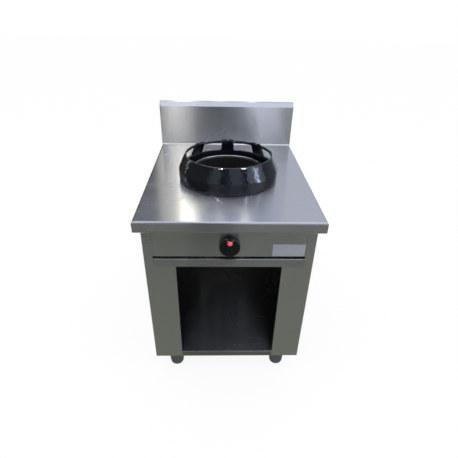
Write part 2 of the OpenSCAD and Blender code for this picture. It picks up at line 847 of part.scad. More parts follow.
// Turning disc that sets the air openings of the mixing tube
module air_shutter() {
    color(galvanised) translate([0, mouth_y - seat - shutter_t, gas_z]) to_rear() difference() {
        union() {
            cylinder(r = mouth_r, h = shutter_t);
            translate([-shutter_tab_w / 2, mouth_r - shutter_t, 0])
                cube([shutter_tab_w, shutter_tab_l + shutter_t, shutter_t]);
        }
        translate([0, 0, -over]) {
            cylinder(r = injector_shank_r + run, h = shutter_t + 2 * over);
            air_holes(shutter_t + 2 * over);
        }
    }
}

// Injector with its hexagon in front of the shutter and its nozzle in the mixing tube
module injector() {
    shank = mouth_plate + shutter_t + 2 * seat;
    hex_y = mouth_y - shutter_t - 2 * seat - injector_hex_l;
    color(brass) translate([0, hex_y, gas_z]) to_rear() difference() {
        union() {
            hex(injector_hex_r, injector_hex_l);
            translate([0, 0, injector_hex_l]) cylinder(r = injector_shank_r, h = shank);
            translate([0, 0, injector_hex_l + shank])
                cylinder(r1 = injector_shank_r, r2 = nozzle_r, h = nozzle_l);
        }
        translate([0, 0, -over]) cylinder(r = feed_r + run, h = injector_hex_l + over);
        translate([0, 0, injector_hex_l - over]) cylinder(r = nozzle_r / 4, h = shank + nozzle_l + 2 * over);
    }
}

// Straight pipe from the tap to the injector
module feed_pipe() {
    end = mouth_y - shutter_t - 2 * seat - injector_hex_l / 2;
    color(copper) bar([0, feed_start, gas_z], [0, end, gas_z], feed_r);
}

// Union nuts on the pipes at the tap and at the injector
module pipe_nuts() {
    injector_y = mouth_y - shutter_t - 2 * seat - injector_hex_l;
    color(brass) {
        for (y = [feed_start, injector_y - nut_l]) translate([0, y, gas_z]) to_rear() difference() {
            hex(nut_hex_r, nut_l);
            translate([0, 0, -over]) cylinder(r = feed_r + run, h = nut_l + 2 * over);
        }
        translate([valve_inlet_x, supply_y, gas_z]) rotate([0, 90, 0]) difference() {
            hex(nut_hex_r + pipe_r - feed_r, nut_l);
            translate([0, 0, -over]) cylinder(r = pipe_r + run, h = nut_l + 2 * over);
        }
    }
}

// Gas tap: turned body, side inlet, rear outlet, two small ports below and a threaded neck
module gas_valve() {
    color(brass) difference() {
        union() {
            translate([0, valve_front, gas_z]) to_rear() {
                cylinder(r = valve_bonnet_r, h = valve_bonnet_t);
                cylinder(r = valve_r, h = valve_l);
                translate([0, 0, valve_l]) cylinder(r = valve_outlet_r, h = valve_outlet_l);
            }
            translate([0, valve_front, gas_z]) rotate([90, 0, 0])
                cylinder(r = neck_r, h = valve_gap + cab_t + neck_out);
            translate([0, supply_y, gas_z]) rotate([0, 90, 0]) cylinder(r = valve_inlet_r, h = valve_inlet_x);
            for (s = [-1, 1]) translate([s * port_x, valve_y, gas_z - port_drop])
                cylinder(r = port_r, h = port_drop);
        }
        translate([0, valve_front + spindle_in, gas_z]) rotate([90, 0, 0])
            cylinder(r = spindle_r + run, h = spindle_in + valve_gap + cab_t + neck_out + over);
    }
}

// Nut that clamps the tap's neck to the panel
module valve_nut() {
    color(brass) on_knob_axis() difference() {
        hex(valve_nut_r, valve_nut_h);
        translate([0, 0, -over]) cylinder(r = neck_r + run, h = valve_nut_h + 2 * over);
    }
}

// Tap spindle with a flat where the knob sits
module valve_spindle() {
    back = cab_t + valve_gap + spindle_in - seat;
    color(brass) on_knob_axis() difference() {
        translate([0, 0, -back]) cylinder(r = spindle_r, h = back + spindle_end);
        translate([-2 * spindle_r, spindle_flat, neck_out + seat])
            cube([4 * spindle_r, 2 * spindle_r, spindle_end]);
    }
}

// Flat black ring between panel and knob
module knob_bezel() {
    color(black) on_knob_axis() difference() {
        rotate_extrude() disc_section(bezel_r, 0, bezel_t, bezel_t / 2);
        translate([0, 0, -over]) cylinder(r = bezel_hole_r, h = bezel_t + 2 * over);
    }
}

// Moulded knob: deep skirt and grip bar, bored for the spindle and for the pointer
module control_knob() {
    skirt_top = knob_back + knob_skirt_l;
    color(black) on_knob_axis() difference() {
        union() {
            rotate_extrude() disc_section(knob_r, knob_back, skirt_top, knob_skirt_edge_r);
            intersection() {
                rotate_extrude() disc_section(knob_r - knob_skirt_edge_r, knob_back, knob_l, knob_edge_r);
                translate([-grip_w / 2, -knob_r, 0]) cube([grip_w, 2 * knob_r, knob_l]);
            }
        }
        cylinder(r = bezel_hole_r - seat, h = knob_cavity_l);
        difference() {
            cylinder(r = spindle_r + run, h = spindle_end + seat);
            translate([-2 * spindle_r, spindle_flat + run, 0])
                cube([4 * spindle_r, 2 * spindle_r, spindle_end + over]);
        }
        translate([0, pointer_up, pointer_floor]) cylinder(r = pointer_r + run, h = knob_l);
    }
}

// Domed pointer pressed into the upper end of the grip bar
module knob_pointer() {
    rise = pointer_proud - pointer_edge;
    dome_r = (pointer_r * pointer_r + rise * rise) / (2 * rise);
    color(red) on_knob_axis() translate([0, pointer_up, 0]) {
        translate([0, 0, pointer_floor + run]) cylinder(r = pointer_r, h = pointer_sink + pointer_edge - run);
        intersection() {
            translate([0, 0, knob_l + pointer_proud - dome_r]) sphere(dome_r);
            translate([0, 0, pointer_floor + run]) cylinder(r = pointer_r, h = knob_l);
        }
    }
}

// Supply pipe from the inlet along the right side to the tap
module supply_pipe() {
    color(galvanised) tube_run([[pipe_x, supply_rear, gas_z], [pipe_x, supply_y, gas_z],
        [valve_inlet_x, supply_y, gas_z]], pipe_r, pipe_bend_r);
}

// Gas inlet: hexagon inside the back panel, shoulder through it and a threaded nipple to the rear
module inlet_fitting() {
    length = rear_y - inlet_tail - back_inner;
    shoulder = cab_t + locknut_t;
    color(brass) translate([pipe_x, back_inner - inlet_hex_l, gas_z]) to_rear() difference() {
        union() {
            hex(inlet_hex_r, inlet_hex_l);
            translate([0, 0, inlet_hex_l]) cylinder(r = inlet_shoulder_r, h = shoulder);
            translate([0, 0, inlet_hex_l]) cylinder(r = inlet_r, h = length);
        }
        translate([0, 0, -over]) cylinder(r = inlet_bore_r, h = inlet_hex_l + length + 2 * over);
    }
}

// Nut that clamps the inlet to the back panel
module inlet_locknut() {
    color(brass) translate([pipe_x, cab_rear - cab_t, gas_z]) to_rear() difference() {
        hex(locknut_r, locknut_t);
        translate([0, 0, -over]) cylinder(r = inlet_shoulder_r + run, h = locknut_t + 2 * over);
    }
}

// Folded bracket on the front rail that holds the pilot and its sensor
module pilot_bracket() {
    middle = (pilot_x + sensor_x) / 2;
    color(galvanised) translate([middle - bracket_w / 2, bracket_y, rail_top]) difference() {
        union() {
            translate([0, -bracket_foot / 2, 0]) cube([bracket_w, bracket_foot, bracket_t]);
            translate([0, bracket_foot / 2 - bracket_t, 0]) cube([bracket_w, bracket_t, pilot_shelf_rise]);
            translate([0, bracket_foot / 2 - bracket_t, pilot_shelf_rise - bracket_t])
                cube([bracket_w, pilot_back, bracket_t]);
        }
        for (h = [[pilot_x, pilot_body_r], [sensor_x, sensor_rod_r]])
            translate([h[0] - middle + bracket_w / 2, pilot_back, pilot_shelf_rise - bracket_t - over])
                cylinder(r = h[1] + hole_gap, h = bracket_t + 2 * over);
        for (h = [[pilot_x, tube_rise_drop, pilot_tube_r], [sensor_x, lead_rise_drop, lead_r]])
            translate([h[0] - middle + bracket_w / 2, bracket_foot / 2 - bracket_t - over,
                gas_z - h[1] - rail_top])
                to_rear() cylinder(r = h[2] + hole_gap, h = bracket_t + 2 * over);
    }
}

// Pilot burner with a slotted hood
module pilot_burner() {
    color(brass) translate([pilot_x, pilot_y, pilot_shelf_z]) difference() {
        union() {
            translate([0, 0, -pilot_tail]) cylinder(r = pilot_body_r, h = pilot_tail + pilot_rise);
            cylinder(r = pilot_collar_r, h = pilot_collar_h);
            translate([0, 0, pilot_rise - pilot_hood_h]) cylinder(r = pilot_hood_r, h = pilot_hood_h);
        }
        translate([0, 0, pilot_rise - pilot_hood_h / 2]) cylinder(r = pilot_body_r, h = pilot_hood_h);
        translate([-pilot_hood_r - over, -pilot_body_r / 2, pilot_rise - pilot_hood_h / 2])
            cube([pilot_hood_r + over, pilot_body_r, pilot_hood_h]);
    }
}

// Route from a port under the tap, under the pipes and up to a point below the pilot shelf
function pilot_route(port_at, run_z, end_x, step_y, rise_z, end_z) = [
    [port_at, valve_y, gas_z - port_drop], [port_at, valve_y, run_z], [end_x, valve_y, run_z],
    [end_x, ring_y - step_y, run_z], [end_x, ring_y - step_y, rise_z], [end_x, pilot_y, rise_z],
    [end_x, pilot_y, end_z]];

// Thin gas tube to the pilot burner
module pilot_tube() {
    color(copper) tube_run(pilot_route(port_x, gas_z - tube_run_drop, pilot_x, tube_step_y,
        gas_z - tube_rise_drop, pilot_shelf_z - pilot_tail), pilot_tube_r, tube_bend_r);
}

// Flame sensor beside the pilot burner
module thermocouple() {
    color(copper) translate([sensor_x, pilot_y, pilot_shelf_z]) {
        translate([0, 0, -pilot_tail]) cylinder(r = sensor_rod_r, h = pilot_tail + sensor_rise);
        cylinder(r = sensor_collar_r, h = pilot_collar_h);
    }
}

// Lead from the flame sensor to the tap
module thermocouple_lead() {
    color(copper) tube_run(pilot_route(-port_x, gas_z - lead_run_drop, sensor_x, lead_step_y,
        gas_z - lead_rise_drop, pilot_shelf_z - pilot_tail), lead_r, tube_bend_r);
}

// Places a leg's or a foot's shape, counted along leg_places
module at_leg(i) {
    place = leg_places[i];
    translate([place.x * leg_x, place.y < 0 ? leg_front_y : leg_rear_y, 0]) children();
}

// Leg tube welded to its plate, with the threaded plug in its lower end
module leg(i) {
    top = shelf_z - leg_plate_t;
    color(dark_steel) at_leg(i) difference() {
        union() {
            translate([-leg_plate_w / 2, -leg_plate_w / 2, top])
                cube([leg_plate_w, leg_plate_w, leg_plate_t]);
            translate([0, 0, foot_h]) cylinder(r = leg_r, h = top - foot_h);
        }
        translate([0, 0, foot_h + leg_plug_h]) cylinder(r = leg_r - leg_wall, h = top - foot_h - leg_plug_h);
        translate([0, 0, foot_h - over]) cylinder(r = stem_r + run, h = leg_plug_h + 2 * over);
    }
}

module leg_front_left() { leg(0); }
module leg_front_right() { leg(1); }
module leg_rear_left() { leg(2); }
module leg_rear_right() { leg(3); }

// Adjustable foot: bullet-shaped pad on a screw stem
module foot(i) {
    body_h = foot_h - seat;
    color(black) at_leg(i) {
        rotate_extrude() polygon(concat([[0, 0], [foot_pad_r, 0]],
            [for (k = [0 : arc_steps]) let (a = 90 * k / arc_steps)
                [foot_pad_r + (foot_side_r - foot_pad_r) * sin(a), foot_edge_h * (1 - cos(a))]],
            [[foot_side_r, body_h], [0, body_h]]));
        cylinder(r = stem_r, h = foot_h + stem_l);
    }
}

module foot_front_left() { foot(0); }
module foot_front_right() { foot(1); }
module foot_rear_left() { foot(2); }
module foot_rear_right() { foot(3); }

worktop();
worktop_stiffener_left();
worktop_stiffener_right();
splashback();
splashback_cover();
left_side_panel();
right_side_panel();
back_panel();
back_panel_screws();
bottom_shelf();
control_panel();
tray_runner_left();
tray_runner_right();
drip_tray();
burner_rail_front();
burner_rail_rear();
burner_well();
wok_ring();
burner_body();
burner_cap();
burner_bolts();
air_shutter();
injector();
feed_pipe();
pipe_nuts();
gas_valve();
valve_nut();
valve_spindle();
knob_bezel();
control_knob();
knob_pointer();
supply_pipe();
inlet_fitting();
inlet_locknut();
pilot_bracket();
pilot_burner();
pilot_tube();
thermocouple();
thermocouple_lead();
leg_front_left();
leg_front_right();
leg_rear_left();
leg_rear_right();
foot_front_left();
foot_front_right();
foot_rear_left();
foot_rear_right();
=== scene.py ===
"""Wok range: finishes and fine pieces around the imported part, laid out as an add-on and run as a script."""

import math

import bmesh
import bpy
from bpy.props import FloatProperty, FloatVectorProperty, PointerProperty
from mathutils import Matrix, Vector


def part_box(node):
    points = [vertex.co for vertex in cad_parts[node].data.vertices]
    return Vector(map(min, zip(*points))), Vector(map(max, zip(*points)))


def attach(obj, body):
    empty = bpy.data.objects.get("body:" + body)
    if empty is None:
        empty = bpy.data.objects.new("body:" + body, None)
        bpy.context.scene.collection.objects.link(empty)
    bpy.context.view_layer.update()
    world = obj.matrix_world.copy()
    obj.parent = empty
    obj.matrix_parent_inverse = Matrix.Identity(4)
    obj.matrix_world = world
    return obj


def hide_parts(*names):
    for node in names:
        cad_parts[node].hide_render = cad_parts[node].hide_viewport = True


bl_info = {
    "name": "Wok range",
    "version": (1, 0, 0),
    "blender": (4, 5, 0),
    "location": "View3D > Sidebar > Wok range",
    "description": "Dresses the solids of a stainless wok range and sets it in a pale studio",
    "category": "Object",
}

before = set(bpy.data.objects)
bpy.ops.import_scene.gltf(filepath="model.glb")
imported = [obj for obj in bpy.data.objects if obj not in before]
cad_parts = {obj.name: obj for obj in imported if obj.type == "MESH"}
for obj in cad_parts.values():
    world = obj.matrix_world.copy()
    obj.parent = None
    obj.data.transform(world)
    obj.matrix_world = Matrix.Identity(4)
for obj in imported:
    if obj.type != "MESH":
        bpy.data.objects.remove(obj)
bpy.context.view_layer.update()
MM = 0.001
UP = Vector((0, 0, 1))
METAL = {"Metallic": 1}

WORKTOP_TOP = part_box("worktop")[1].z
WELL_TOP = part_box("burner_well")[1].z
RING_LOW, RING_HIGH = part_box("wok_ring")
RING_CENTRE = Vector((0, (RING_LOW.y + RING_HIGH.y) / 2, RING_LOW.z))
PANEL_LOW, PANEL_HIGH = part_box("control_panel")
BEZEL_LOW, BEZEL_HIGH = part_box("knob_bezel")
DIAL_CENTRE = Vector((0, PANEL_LOW.y, (BEZEL_LOW.z + BEZEL_HIGH.z) / 2))
SPLASH_LOW, SPLASH_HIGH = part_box("splashback")

# The ring's posts, the steps round its bends and its rim, and the steps along each kind of span
POSTS = 5
BEND_STEPS = 6
RIM_STEPS = 10
SPAN_STEPS = {"post": 4, "notch": 2, "window": 14, "wall": 84}

# Points closer than the first are one point, heights closer than the second are level
WELD = 0.02 * MM
LEVEL = 0.1 * MM

# Upright part of the normal above which a face looks up, level part above which it looks sideways
LOOKS_UP = 0.8
LOOKS_SIDEWAYS = 0.5

# Angle from which an edge of the casting is rounded
SHARP = math.radians(38)

# Soft boxes: name, place, aim, width, height, radiance and colour
LAMPS = (
    ("overhead_box", (0.0, -0.5, 2.9), (0, 0, 0.6), 2.2, 1.4, 1.3, "#ffffff"),
    ("left_box", (-2.2, -0.4, 2.7), (0, 0, 0.5), 1.2, 1.2, 1.2, "#ffffff"),
    ("right_box", (2.2, -0.9, 2.7), (0, 0, 0.5), 1.2, 1.2, 1.2, "#f4f6ff"),
)

# Tubes and a window that only the enamel, the knob and its pointer show, in the same order
GLINTS = (
    ("left_tube", (-0.88, -2.2, 3.2), (0, -0.2, 0.75), 0.12, 1.0, 200.0, "#f4f8ff"),
    ("right_tube", (1.85, -2.1, 3.2), (0, -0.2, 0.75), 0.14, 1.0, 260.0, "#f4f8ff"),
    ("right_window", (2.4, -0.95, 1.3), (0, -0.04, 0.75), 0.3, 1.3, 12.0, "#cfe0ff"),
)

# Cards round the range: name, one corner, the opposite corner, colour and strength
CARDS = (
    ("front_floor_near", (-2.6, -1.15, 0.003), (2.6, -0.3, 0.004), "#858979", 1.0),
    ("front_floor_far", (-2.6, -2.6, 0.003), (2.6, -1.15, 0.004), "#5b5d53", 1.0),
    ("front_left", (-4.0, -2.7, 0.0), (-0.68, -2.69, 1.5), "#9a9da3", 1.0),
    ("front_middle", (-0.68, -2.7, 0.0), (4.0, -2.69, 1.5), "#adb0b5", 1.0),
    ("front_dark", (-0.22, -1.56, 0.0), (0.06, -1.55, 1.8), "#666a70", 1.0),
    ("front_high_left", (-4.0, -2.7, 1.5), (-0.9, -2.69, 4.4), "#bcc6d8", 1.0),
    ("front_high_dark", (-0.9, -2.7, 1.5), (0.1, -2.69, 4.4), "#3c3e42", 1.0),
    ("front_high_right", (0.1, -2.7, 1.5), (1.7, -2.69, 4.4), "#bcc6d8", 1.1),
    ("front_high_far", (1.7, -2.7, 1.5), (4.0, -2.69, 4.4), "#3c3e42", 1.0),
    ("left_wall", (-2.5, -2.6, 0.0), (-2.49, 2.9, 6.0), "#5c5d54", 1.0),
    ("left_gap", (-2.45, 1.08, 1.0), (-2.44, 1.16, 3.0), "#f4f8ff", 8.0),
    ("right_wall", (2.6, -2.6, 1.4), (2.61, -0.2, 3.2), "#dbe7ff", 1.8),
    ("right_rear", (2.6, -0.2, 0.0), (2.61, 2.9, 6.0), "#858c98", 1.0),
    ("rear_olive", (-3.2, 3.0, 0.0), (-0.78, 3.01, 6.0), "#34362d", 1.0),
    ("rear_pale", (-0.78, 3.0, 0.0), (-0.53, 3.01, 6.0), "#ecebe2", 1.25),
    ("rear_strip", (-0.53, 3.0, 0.0), (-0.35, 3.01, 6.0), "#fffdf4", 4.6),
    ("rear_soft", (-0.35, 3.0, 0.0), (-0.27, 3.01, 6.0), "#e8eaf0", 0.9),
    ("rear_blue", (-0.27, 3.0, 0.0), (0.78, 3.01, 6.0), "#b8c4e2", 1.0),
    ("rear_tube_left", (-0.06, 2.9, 0.0), (0.03, 2.91, 6.0), "#f2f6ff", 1.9),
    ("rear_tube_right", (0.29, 2.9, 0.0), (0.38, 2.91, 6.0), "#f6f8ff", 3.2),
    ("rear_grey", (0.78, 3.0, 0.0), (2.8, 3.01, 6.0), "#dbe0f2", 1.0),
    ("ceiling", (-2.5, -3.0, 3.4), (2.5, 1.0, 3.41), "#e1e8ff", 1.6),
)

# Clear cards that only the splashback shows, in the same order
SPLASH_CARDS = (
    ("pale_left", (-0.66, -2.6, 0.0), (-0.42, -2.59, 1.45), "#fffdf6", 0.5),
    ("pale_left_high", (-0.66, -2.6, 1.45), (-0.44, -2.59, 3.6), "#fffdf6", 4.2),
    ("streak", (0.325, -2.6, 0.0), (0.36, -2.59, 1.2), "#e8f0ff", 4.0),
    ("pale_right", (0.4, -2.6, 0.0), (0.68, -2.59, 1.2), "#e6e9ff", 0.85),
    ("pale_right_high", (0.4, -2.6, 1.2), (0.68, -2.59, 2.8), "#e6e9ff", 0.5),
)


def linear(code):
    """The linear colour of an sRGB hex value."""
    parts = [int(code[i:i + 2], 16) / 255 for i in (1, 3, 5)]
    return tuple(c / 12.92 if c <= 0.04045 else ((c + 0.055) / 1.055) ** 2.4 for c in parts)


def colour(label, note, code):
    """A colour that a user may change."""
    return FloatVectorProperty(name=label, description=note, subtype="COLOR", min=0, max=1,
                               default=linear(code))


def length(label, note, millimetres):
    """A length that a user may change."""
    return FloatProperty(name=label, description=note, subtype="DISTANCE", unit="LENGTH", precision=4,
                         default=millimetres * MM)


def angle(label, note, degrees):
    """An angle that a user may change."""
    return FloatProperty(name=label, description=note, subtype="ANGLE", default=math.radians(degrees))


def share(label, note, value):
    """A share between 0 and 1 that a user may change."""
    return FloatProperty(name=label, description=note, subtype="FACTOR", min=0, max=1, default=value)


class WOKRANGE_PG_steel(bpy.types.PropertyGroup):
    """Sheet steel"""

    bright: colour("Bright lines", "Colour of the brushed lines that face the light", "#c3c3c1")
    dark: colour("Dark lines", "Colour of the brushed lines that face away", "#bababa")
    mill: colour("Mill finish", "Colour of the unbrushed rear sheet", "#b4b4b0")
    # Darker colour of the well's inside below its rim
    well_dark: colour("Well dark", "Colour of the well's inside where the flame has blackened it", "#191715")
    zinc: colour("Zinc", "Colour of the galvanised sheet", "#9ea3a5")
    tube: colour("Leg tube", "Colour of the satin leg tubes", "#969cab")
    roughness: share("Roughness", "Mean roughness of the brushed sheet", 0.26)
    wiping: share("Wiping", "How far the wiped patches raise or lower the roughness", 0.02)
    brush: share("Brush", "How far reflections are drawn out across the grain", 1)
    line_pitch: length("Line pitch", "Spacing of the brushed lines that show", 5)
    line_run: length("Line run", "Length of a brushed line", 160)
    line_depth: length("Line depth", "Depth of the brushed lines", 0.05)
    smear_size: length("Smear size", "Size of the wiped patches", 130)
    # Painted shade: the drip tray is a darker copy of the brushed sheet
    painted_shade_tray: share("Tray painted shade", "Share of light that the handled tray gives back, against clean sheet", 0.88)
    # Painted shade: the shelf inside the cabinet is a darker copy of the brushed sheet
    painted_shade_shelf: share("Shelf painted shade", "Share of light that the greasy shelf gives back, against clean sheet", 0.56)
    bare_rim: length("Bare rim", "Height of the clean band below the well's rim", 8)
    well_dark_run: length("Soot run", "Size of the runs in the soot", 14)
    well_dark_edge: length("Soot edge", "How far the soot's upper edge wanders", 4)
    cloud: length("Cloud", "Size of the cloudy patches in the mill finish", 60)
    rolling: length("Rolling", "Spacing of the rolling lines in the mill finish", 4)
    spangle: length("Spangle", "Size of the zinc crystals", 9)
    handling: length("Handling", "Size of the handling marks on screws and bolts", 3)
    polish: length("Polish", "Spacing of the polishing rings on the leg tubes", 2)
    scuff: length("Scuff", "Size of the scuffs on the leg tubes", 18)


class WOKRANGE_PG_ring(bpy.types.PropertyGroup):
    """Cast wok ring"""

    enamel: colour("Enamel", "Colour of the enamel", "#060708")
    burnt: colour("Burnt enamel", "Colour of the enamel where it is thin", "#0d1016")
    skirt: length("Skirt", "Height of the skirt below the shoulder", 38)
    tuck: length("Tuck", "How far the skirt is tucked in at its foot", 7)
    tuck_height: length("Tuck height", "Height of the tucked part", 18)
    shoulder: length("Shoulder", "Radius of the shoulder", 20)
    wall: length("Wall", "Wall of the casting", 8)
    lean: angle("Lean", "Lean of the cone from upright", 25)
    sill: length("Sill", "Height of the windows' sill", 49)
    hoop: length("Hoop", "Height of the hoop over the windows", 10)
    pad: length("Pad", "Height of the pads on the posts", 3)
    notch: length("Notch", "Width of the notch in each pad", 7)
    notch_sink: length("Notch sink", "Depth of the notches below the top of the hoop", 1.4)
    post: angle("Post", "Width of a post", 17)
    pitch: angle("Pitch", "Angle from post to post", 45)
    edge: length("Edge", "Rounding of the casting's edges", 1.6)
    peel: length("Peel", "Size of the ripples in the enamel", 8)
    peel_depth: length("Peel depth", "Depth of the ripples in the enamel", 0.8)


class WOKRANGE_PG_burner(bpy.types.PropertyGroup):
    """Burner and gas line"""

    iron: colour("Iron", "Colour of the cast iron", "#3c3a39")
    rust: colour("Heat tint", "Colour of the iron that the flame has reached", "#4d4038")
    brass: colour("Brass", "Colour of the turned brass", "#c9a765")
    tarnish: colour("Tarnish", "Colour of the brass in its hollows", "#8e7038")
    copper: colour("Copper", "Colour of the drawn copper", "#c58365")
    oxide: colour("Oxide", "Colour of the copper where it has darkened", "#7d4a38")
    sand: length("Sand", "Grain of the casting's skin", 1.6)
    heat: length("Heat", "Size of the patches that the flame has tinted", 35)
    turn_pitch: length("Turning pitch", "Spacing of the turning marks", 0.8)
    stain: length("Stain", "Size of the stains on the brass", 9)
    patch: length("Patch", "Size of the dark patches on the copper", 14)


class WOKRANGE_PG_controls(bpy.types.PropertyGroup):
    """Knob, dial marks, plate, seal and feet"""

    black: colour("Knob", "Colour of the knob and of the black mark", "#070708")
    red: colour("Pointer", "Colour of the pointer and of the red mark", "#b23c48")
    feet: colour("Feet", "Colour of the feet", "#46484d")
    plate: colour("Plate", "Colour of the bare plate", "#a2a8b2")
    seal: colour("Seal", "Colour of the sealant", "#dcdde0")
    plate_width: length("Plate width", "Width of the bare plate", 108)
    plate_height: length("Plate height", "Height of the bare plate", 46)
    plate_thick: length("Plate thickness", "Thickness of the bare plate", 0.6)
    plate_side: length("Plate side", "Distance of the plate from the panel's right end", 3)
    plate_foot: length("Plate foot", "Distance of the plate from the panel's lower edge", 4)
    plate_corner: length("Plate corner", "Rounding of the plate's corners", 3)
    plate_rim: length("Plate rim", "Rounding of the plate's front edge", 0.25)
    plate_grain: length("Plate grain", "Grain of the plate's matt skin", 1.2)
    plate_rub: length("Plate rub", "Size of the rubs on the plate", 25)
    rivet: length("Rivet", "Radius of the plate's rivets", 1.6)
    rivet_inset: length("Rivet inset", "Distance of the rivets from the plate's edges", 5)
    rivet_flat: share("Rivet flatness", "Height of a rivet's dome against its radius", 0.7)
    seal_width: length("Seal width", "Width of the sealant bead", 4)
    seal_wipe: length("Seal wipe", "Size of the finger's wipes on the sealant", 20)
    mark: length("Mark", "Radius of the dial's printed marks", 2.6)
    off_ring: length("Black mark's ring", "Distance of the black mark from the knob's axis", 42)
    high_ring: length("Red mark's ring", "Distance of the red mark from the knob's axis", 47.5)
    off_angle: angle("Black mark", "Angle of the black mark from upright", 32)
    high_angle: angle("Red mark", "Angle of the red mark from upright", 143)
    ink: length("Ink", "Thickness of the printed marks", 0.1)
    screen: length("Screen", "Spacing of the printing screen's mesh", 0.6)


class WOKRANGE_PG_stage(bpy.types.PropertyGroup):
    """Floor, light and camera"""

    place: FloatVectorProperty(name="Camera place", description="Where the camera stands",
                               subtype="TRANSLATION", unit="LENGTH", default=(-0.0375, -1.3853, 1.2461))
    yaw: angle("Yaw", "Turn of the camera to the right", 2.049)
    dip: angle("Dip", "Tilt of the camera below the horizon", 34.287)
    roll: angle("Roll", "Roll of the camera", 1.313)
    lens: FloatProperty(name="Lens", description="Focal length", subtype="DISTANCE_CAMERA", default=29.145)
    shift: FloatProperty(name="Shift", description="Upward shift of the frame", default=31 / 458)
    floor: colour("Floor", "Colour of the floor", "#f6f6f5")
    floor_size: length("Floor size", "Width of the floor", 40000)
    floor_cloud: length("Floor cloud", "Size of the cloudy patches on the floor", 400)
    paleness: share("Paleness", "Share of plain white in the floor as the eye sees it", 0.9)
    fill: share("Fill", "Level of the light from all round", 1)


class WOKRANGE_PG_settings(bpy.types.PropertyGroup):
    """All settings of the range"""

    steel: PointerProperty(type=WOKRANGE_PG_steel)
    ring: PointerProperty(type=WOKRANGE_PG_ring)
    burner: PointerProperty(type=WOKRANGE_PG_burner)
    controls: PointerProperty(type=WOKRANGE_PG_controls)
    stage: PointerProperty(type=WOKRANGE_PG_stage)


def add_node(tree, kind, sockets=None, **settings):
    """Adds one node with its settings. A socket is given a value, or another socket that feeds it."""
    made = tree.nodes.new(kind)
    for name, value in settings.items():
        setattr(made, name, value)
    for key, value in (sockets or {}).items():
        if isinstance(value, bpy.types.NodeSocket):
            tree.links.new(value, made.inputs[key])
        else:
            made.inputs[key].default_value = value
    return made


def start_material(name):
    """An empty material, its node tree and the place of each point on the piece."""
    material = bpy.data.materials.new(name)
    material.use_nodes = True
    tree = material.node_tree
    tree.nodes.clear()
    return material, tree, add_node(tree, "ShaderNodeTexCoord").outputs["Object"]


def close_material(tree, tone, rough, relief=None, others=None):
    """Ends a material in one surface shader. Tone is a factor and the two colours it mixes, rough is a
    value and the roughness at its 0 and 1, relief is a height, its strength and its depth, and others are
    more of the shader's sockets."""
    factor, first, second = tone
    value, low, high = rough
    mixed = add_node(tree, "ShaderNodeMix", {0: factor, 6: first, 7: second}, data_type="RGBA")
    spread = add_node(tree, "ShaderNodeMapRange", {"Value": value, "To Min": low, "To Max": high})
    sockets = {"Base Color": mixed.outputs[2], "Roughness": spread.outputs[0], **(others or {})}
    if relief:
        height, strength, depth = relief
        bump = add_node(tree, "ShaderNodeBump", {"Height": height, "Strength": strength, "Distance": depth})
        sockets["Normal"] = bump.outputs[0]
    shader = add_node(tree, "ShaderNodeBsdfPrincipled", sockets)
    add_node(tree, "ShaderNodeOutputMaterial", {"Surface": shader.outputs["BSDF"]})


def shade(rgb, level=1, lift=0):
    """A colour for a socket, darkened or lightened."""
    return (*(min(1, level * c + lift) for c in rgb), 1)


def brushed_stainless(steel, name, shining):
    """Stainless sheet ground with a belt: reflections are drawn out across the grain, and fine lines run
    along it, level on every face. Real lines are under 0.3 mm apart, these are further apart to show."""
    material, tree, place = start_material(name)
    normal = add_node(tree, "ShaderNodeTexCoord").outputs["Normal"]
    facing = add_node(tree, "ShaderNodeSeparateXYZ", {0: normal})
    sideways = add_node(tree, "ShaderNodeMath", {0: facing.outputs["X"]}, operation="ABSOLUTE")
    side = add_node(tree, "ShaderNodeMath", {0: sideways.outputs[0], 1: LOOKS_SIDEWAYS},
                    operation="GREATER_THAN").outputs[0]
    run, fine = 1 / steel.line_run, 1 / steel.line_pitch
    scale = add_node(tree, "ShaderNodeMix", {0: side, 4: (run, fine, fine), 5: (fine, run, fine)},
                     data_type="VECTOR")
    drawn = add_node(tree, "ShaderNodeMapping", {"Vector": place, "Scale": scale.outputs[1]})
    lines = add_node(tree, "ShaderNodeTexNoise", {"Vector": drawn.outputs[0], "Scale": 1, "Detail": 3,
                                                  "Roughness": 0.75}).outputs[0]
    smears = add_node(tree, "ShaderNodeTexNoise", {"Vector": place, "Scale": 1 / steel.smear_size,
                                                   "Detail": 3, "Distortion": 0.8})
    wiped = add_node(tree, "ShaderNodeMapRange", {"Value": smears.outputs[0], "From Min": 0.3,
                                                  "From Max": 0.7}).outputs[0]
    level = add_node(tree, "ShaderNodeTangent", direction_type="RADIAL", axis="X")
    level_side = add_node(tree, "ShaderNodeTangent", direction_type="RADIAL", axis="Y")
    grain = add_node(tree, "ShaderNodeMix", {0: side, 4: level.outputs[0], 5: level_side.outputs[0]},
                     data_type="VECTOR")
    # A level below 1 darkens both line colours of the whole sheet: painted shade for the tray and the shelf
    close_material(tree, (lines, shade(steel.dark, shining), shade(steel.bright, shining)),
                   (wiped, steel.roughness - steel.wiping, steel.roughness + steel.wiping),
                   (lines, 0.05, steel.line_depth),
                   {**METAL, "Anisotropic": steel.brush, "Tangent": grain.outputs[1]})
    return material


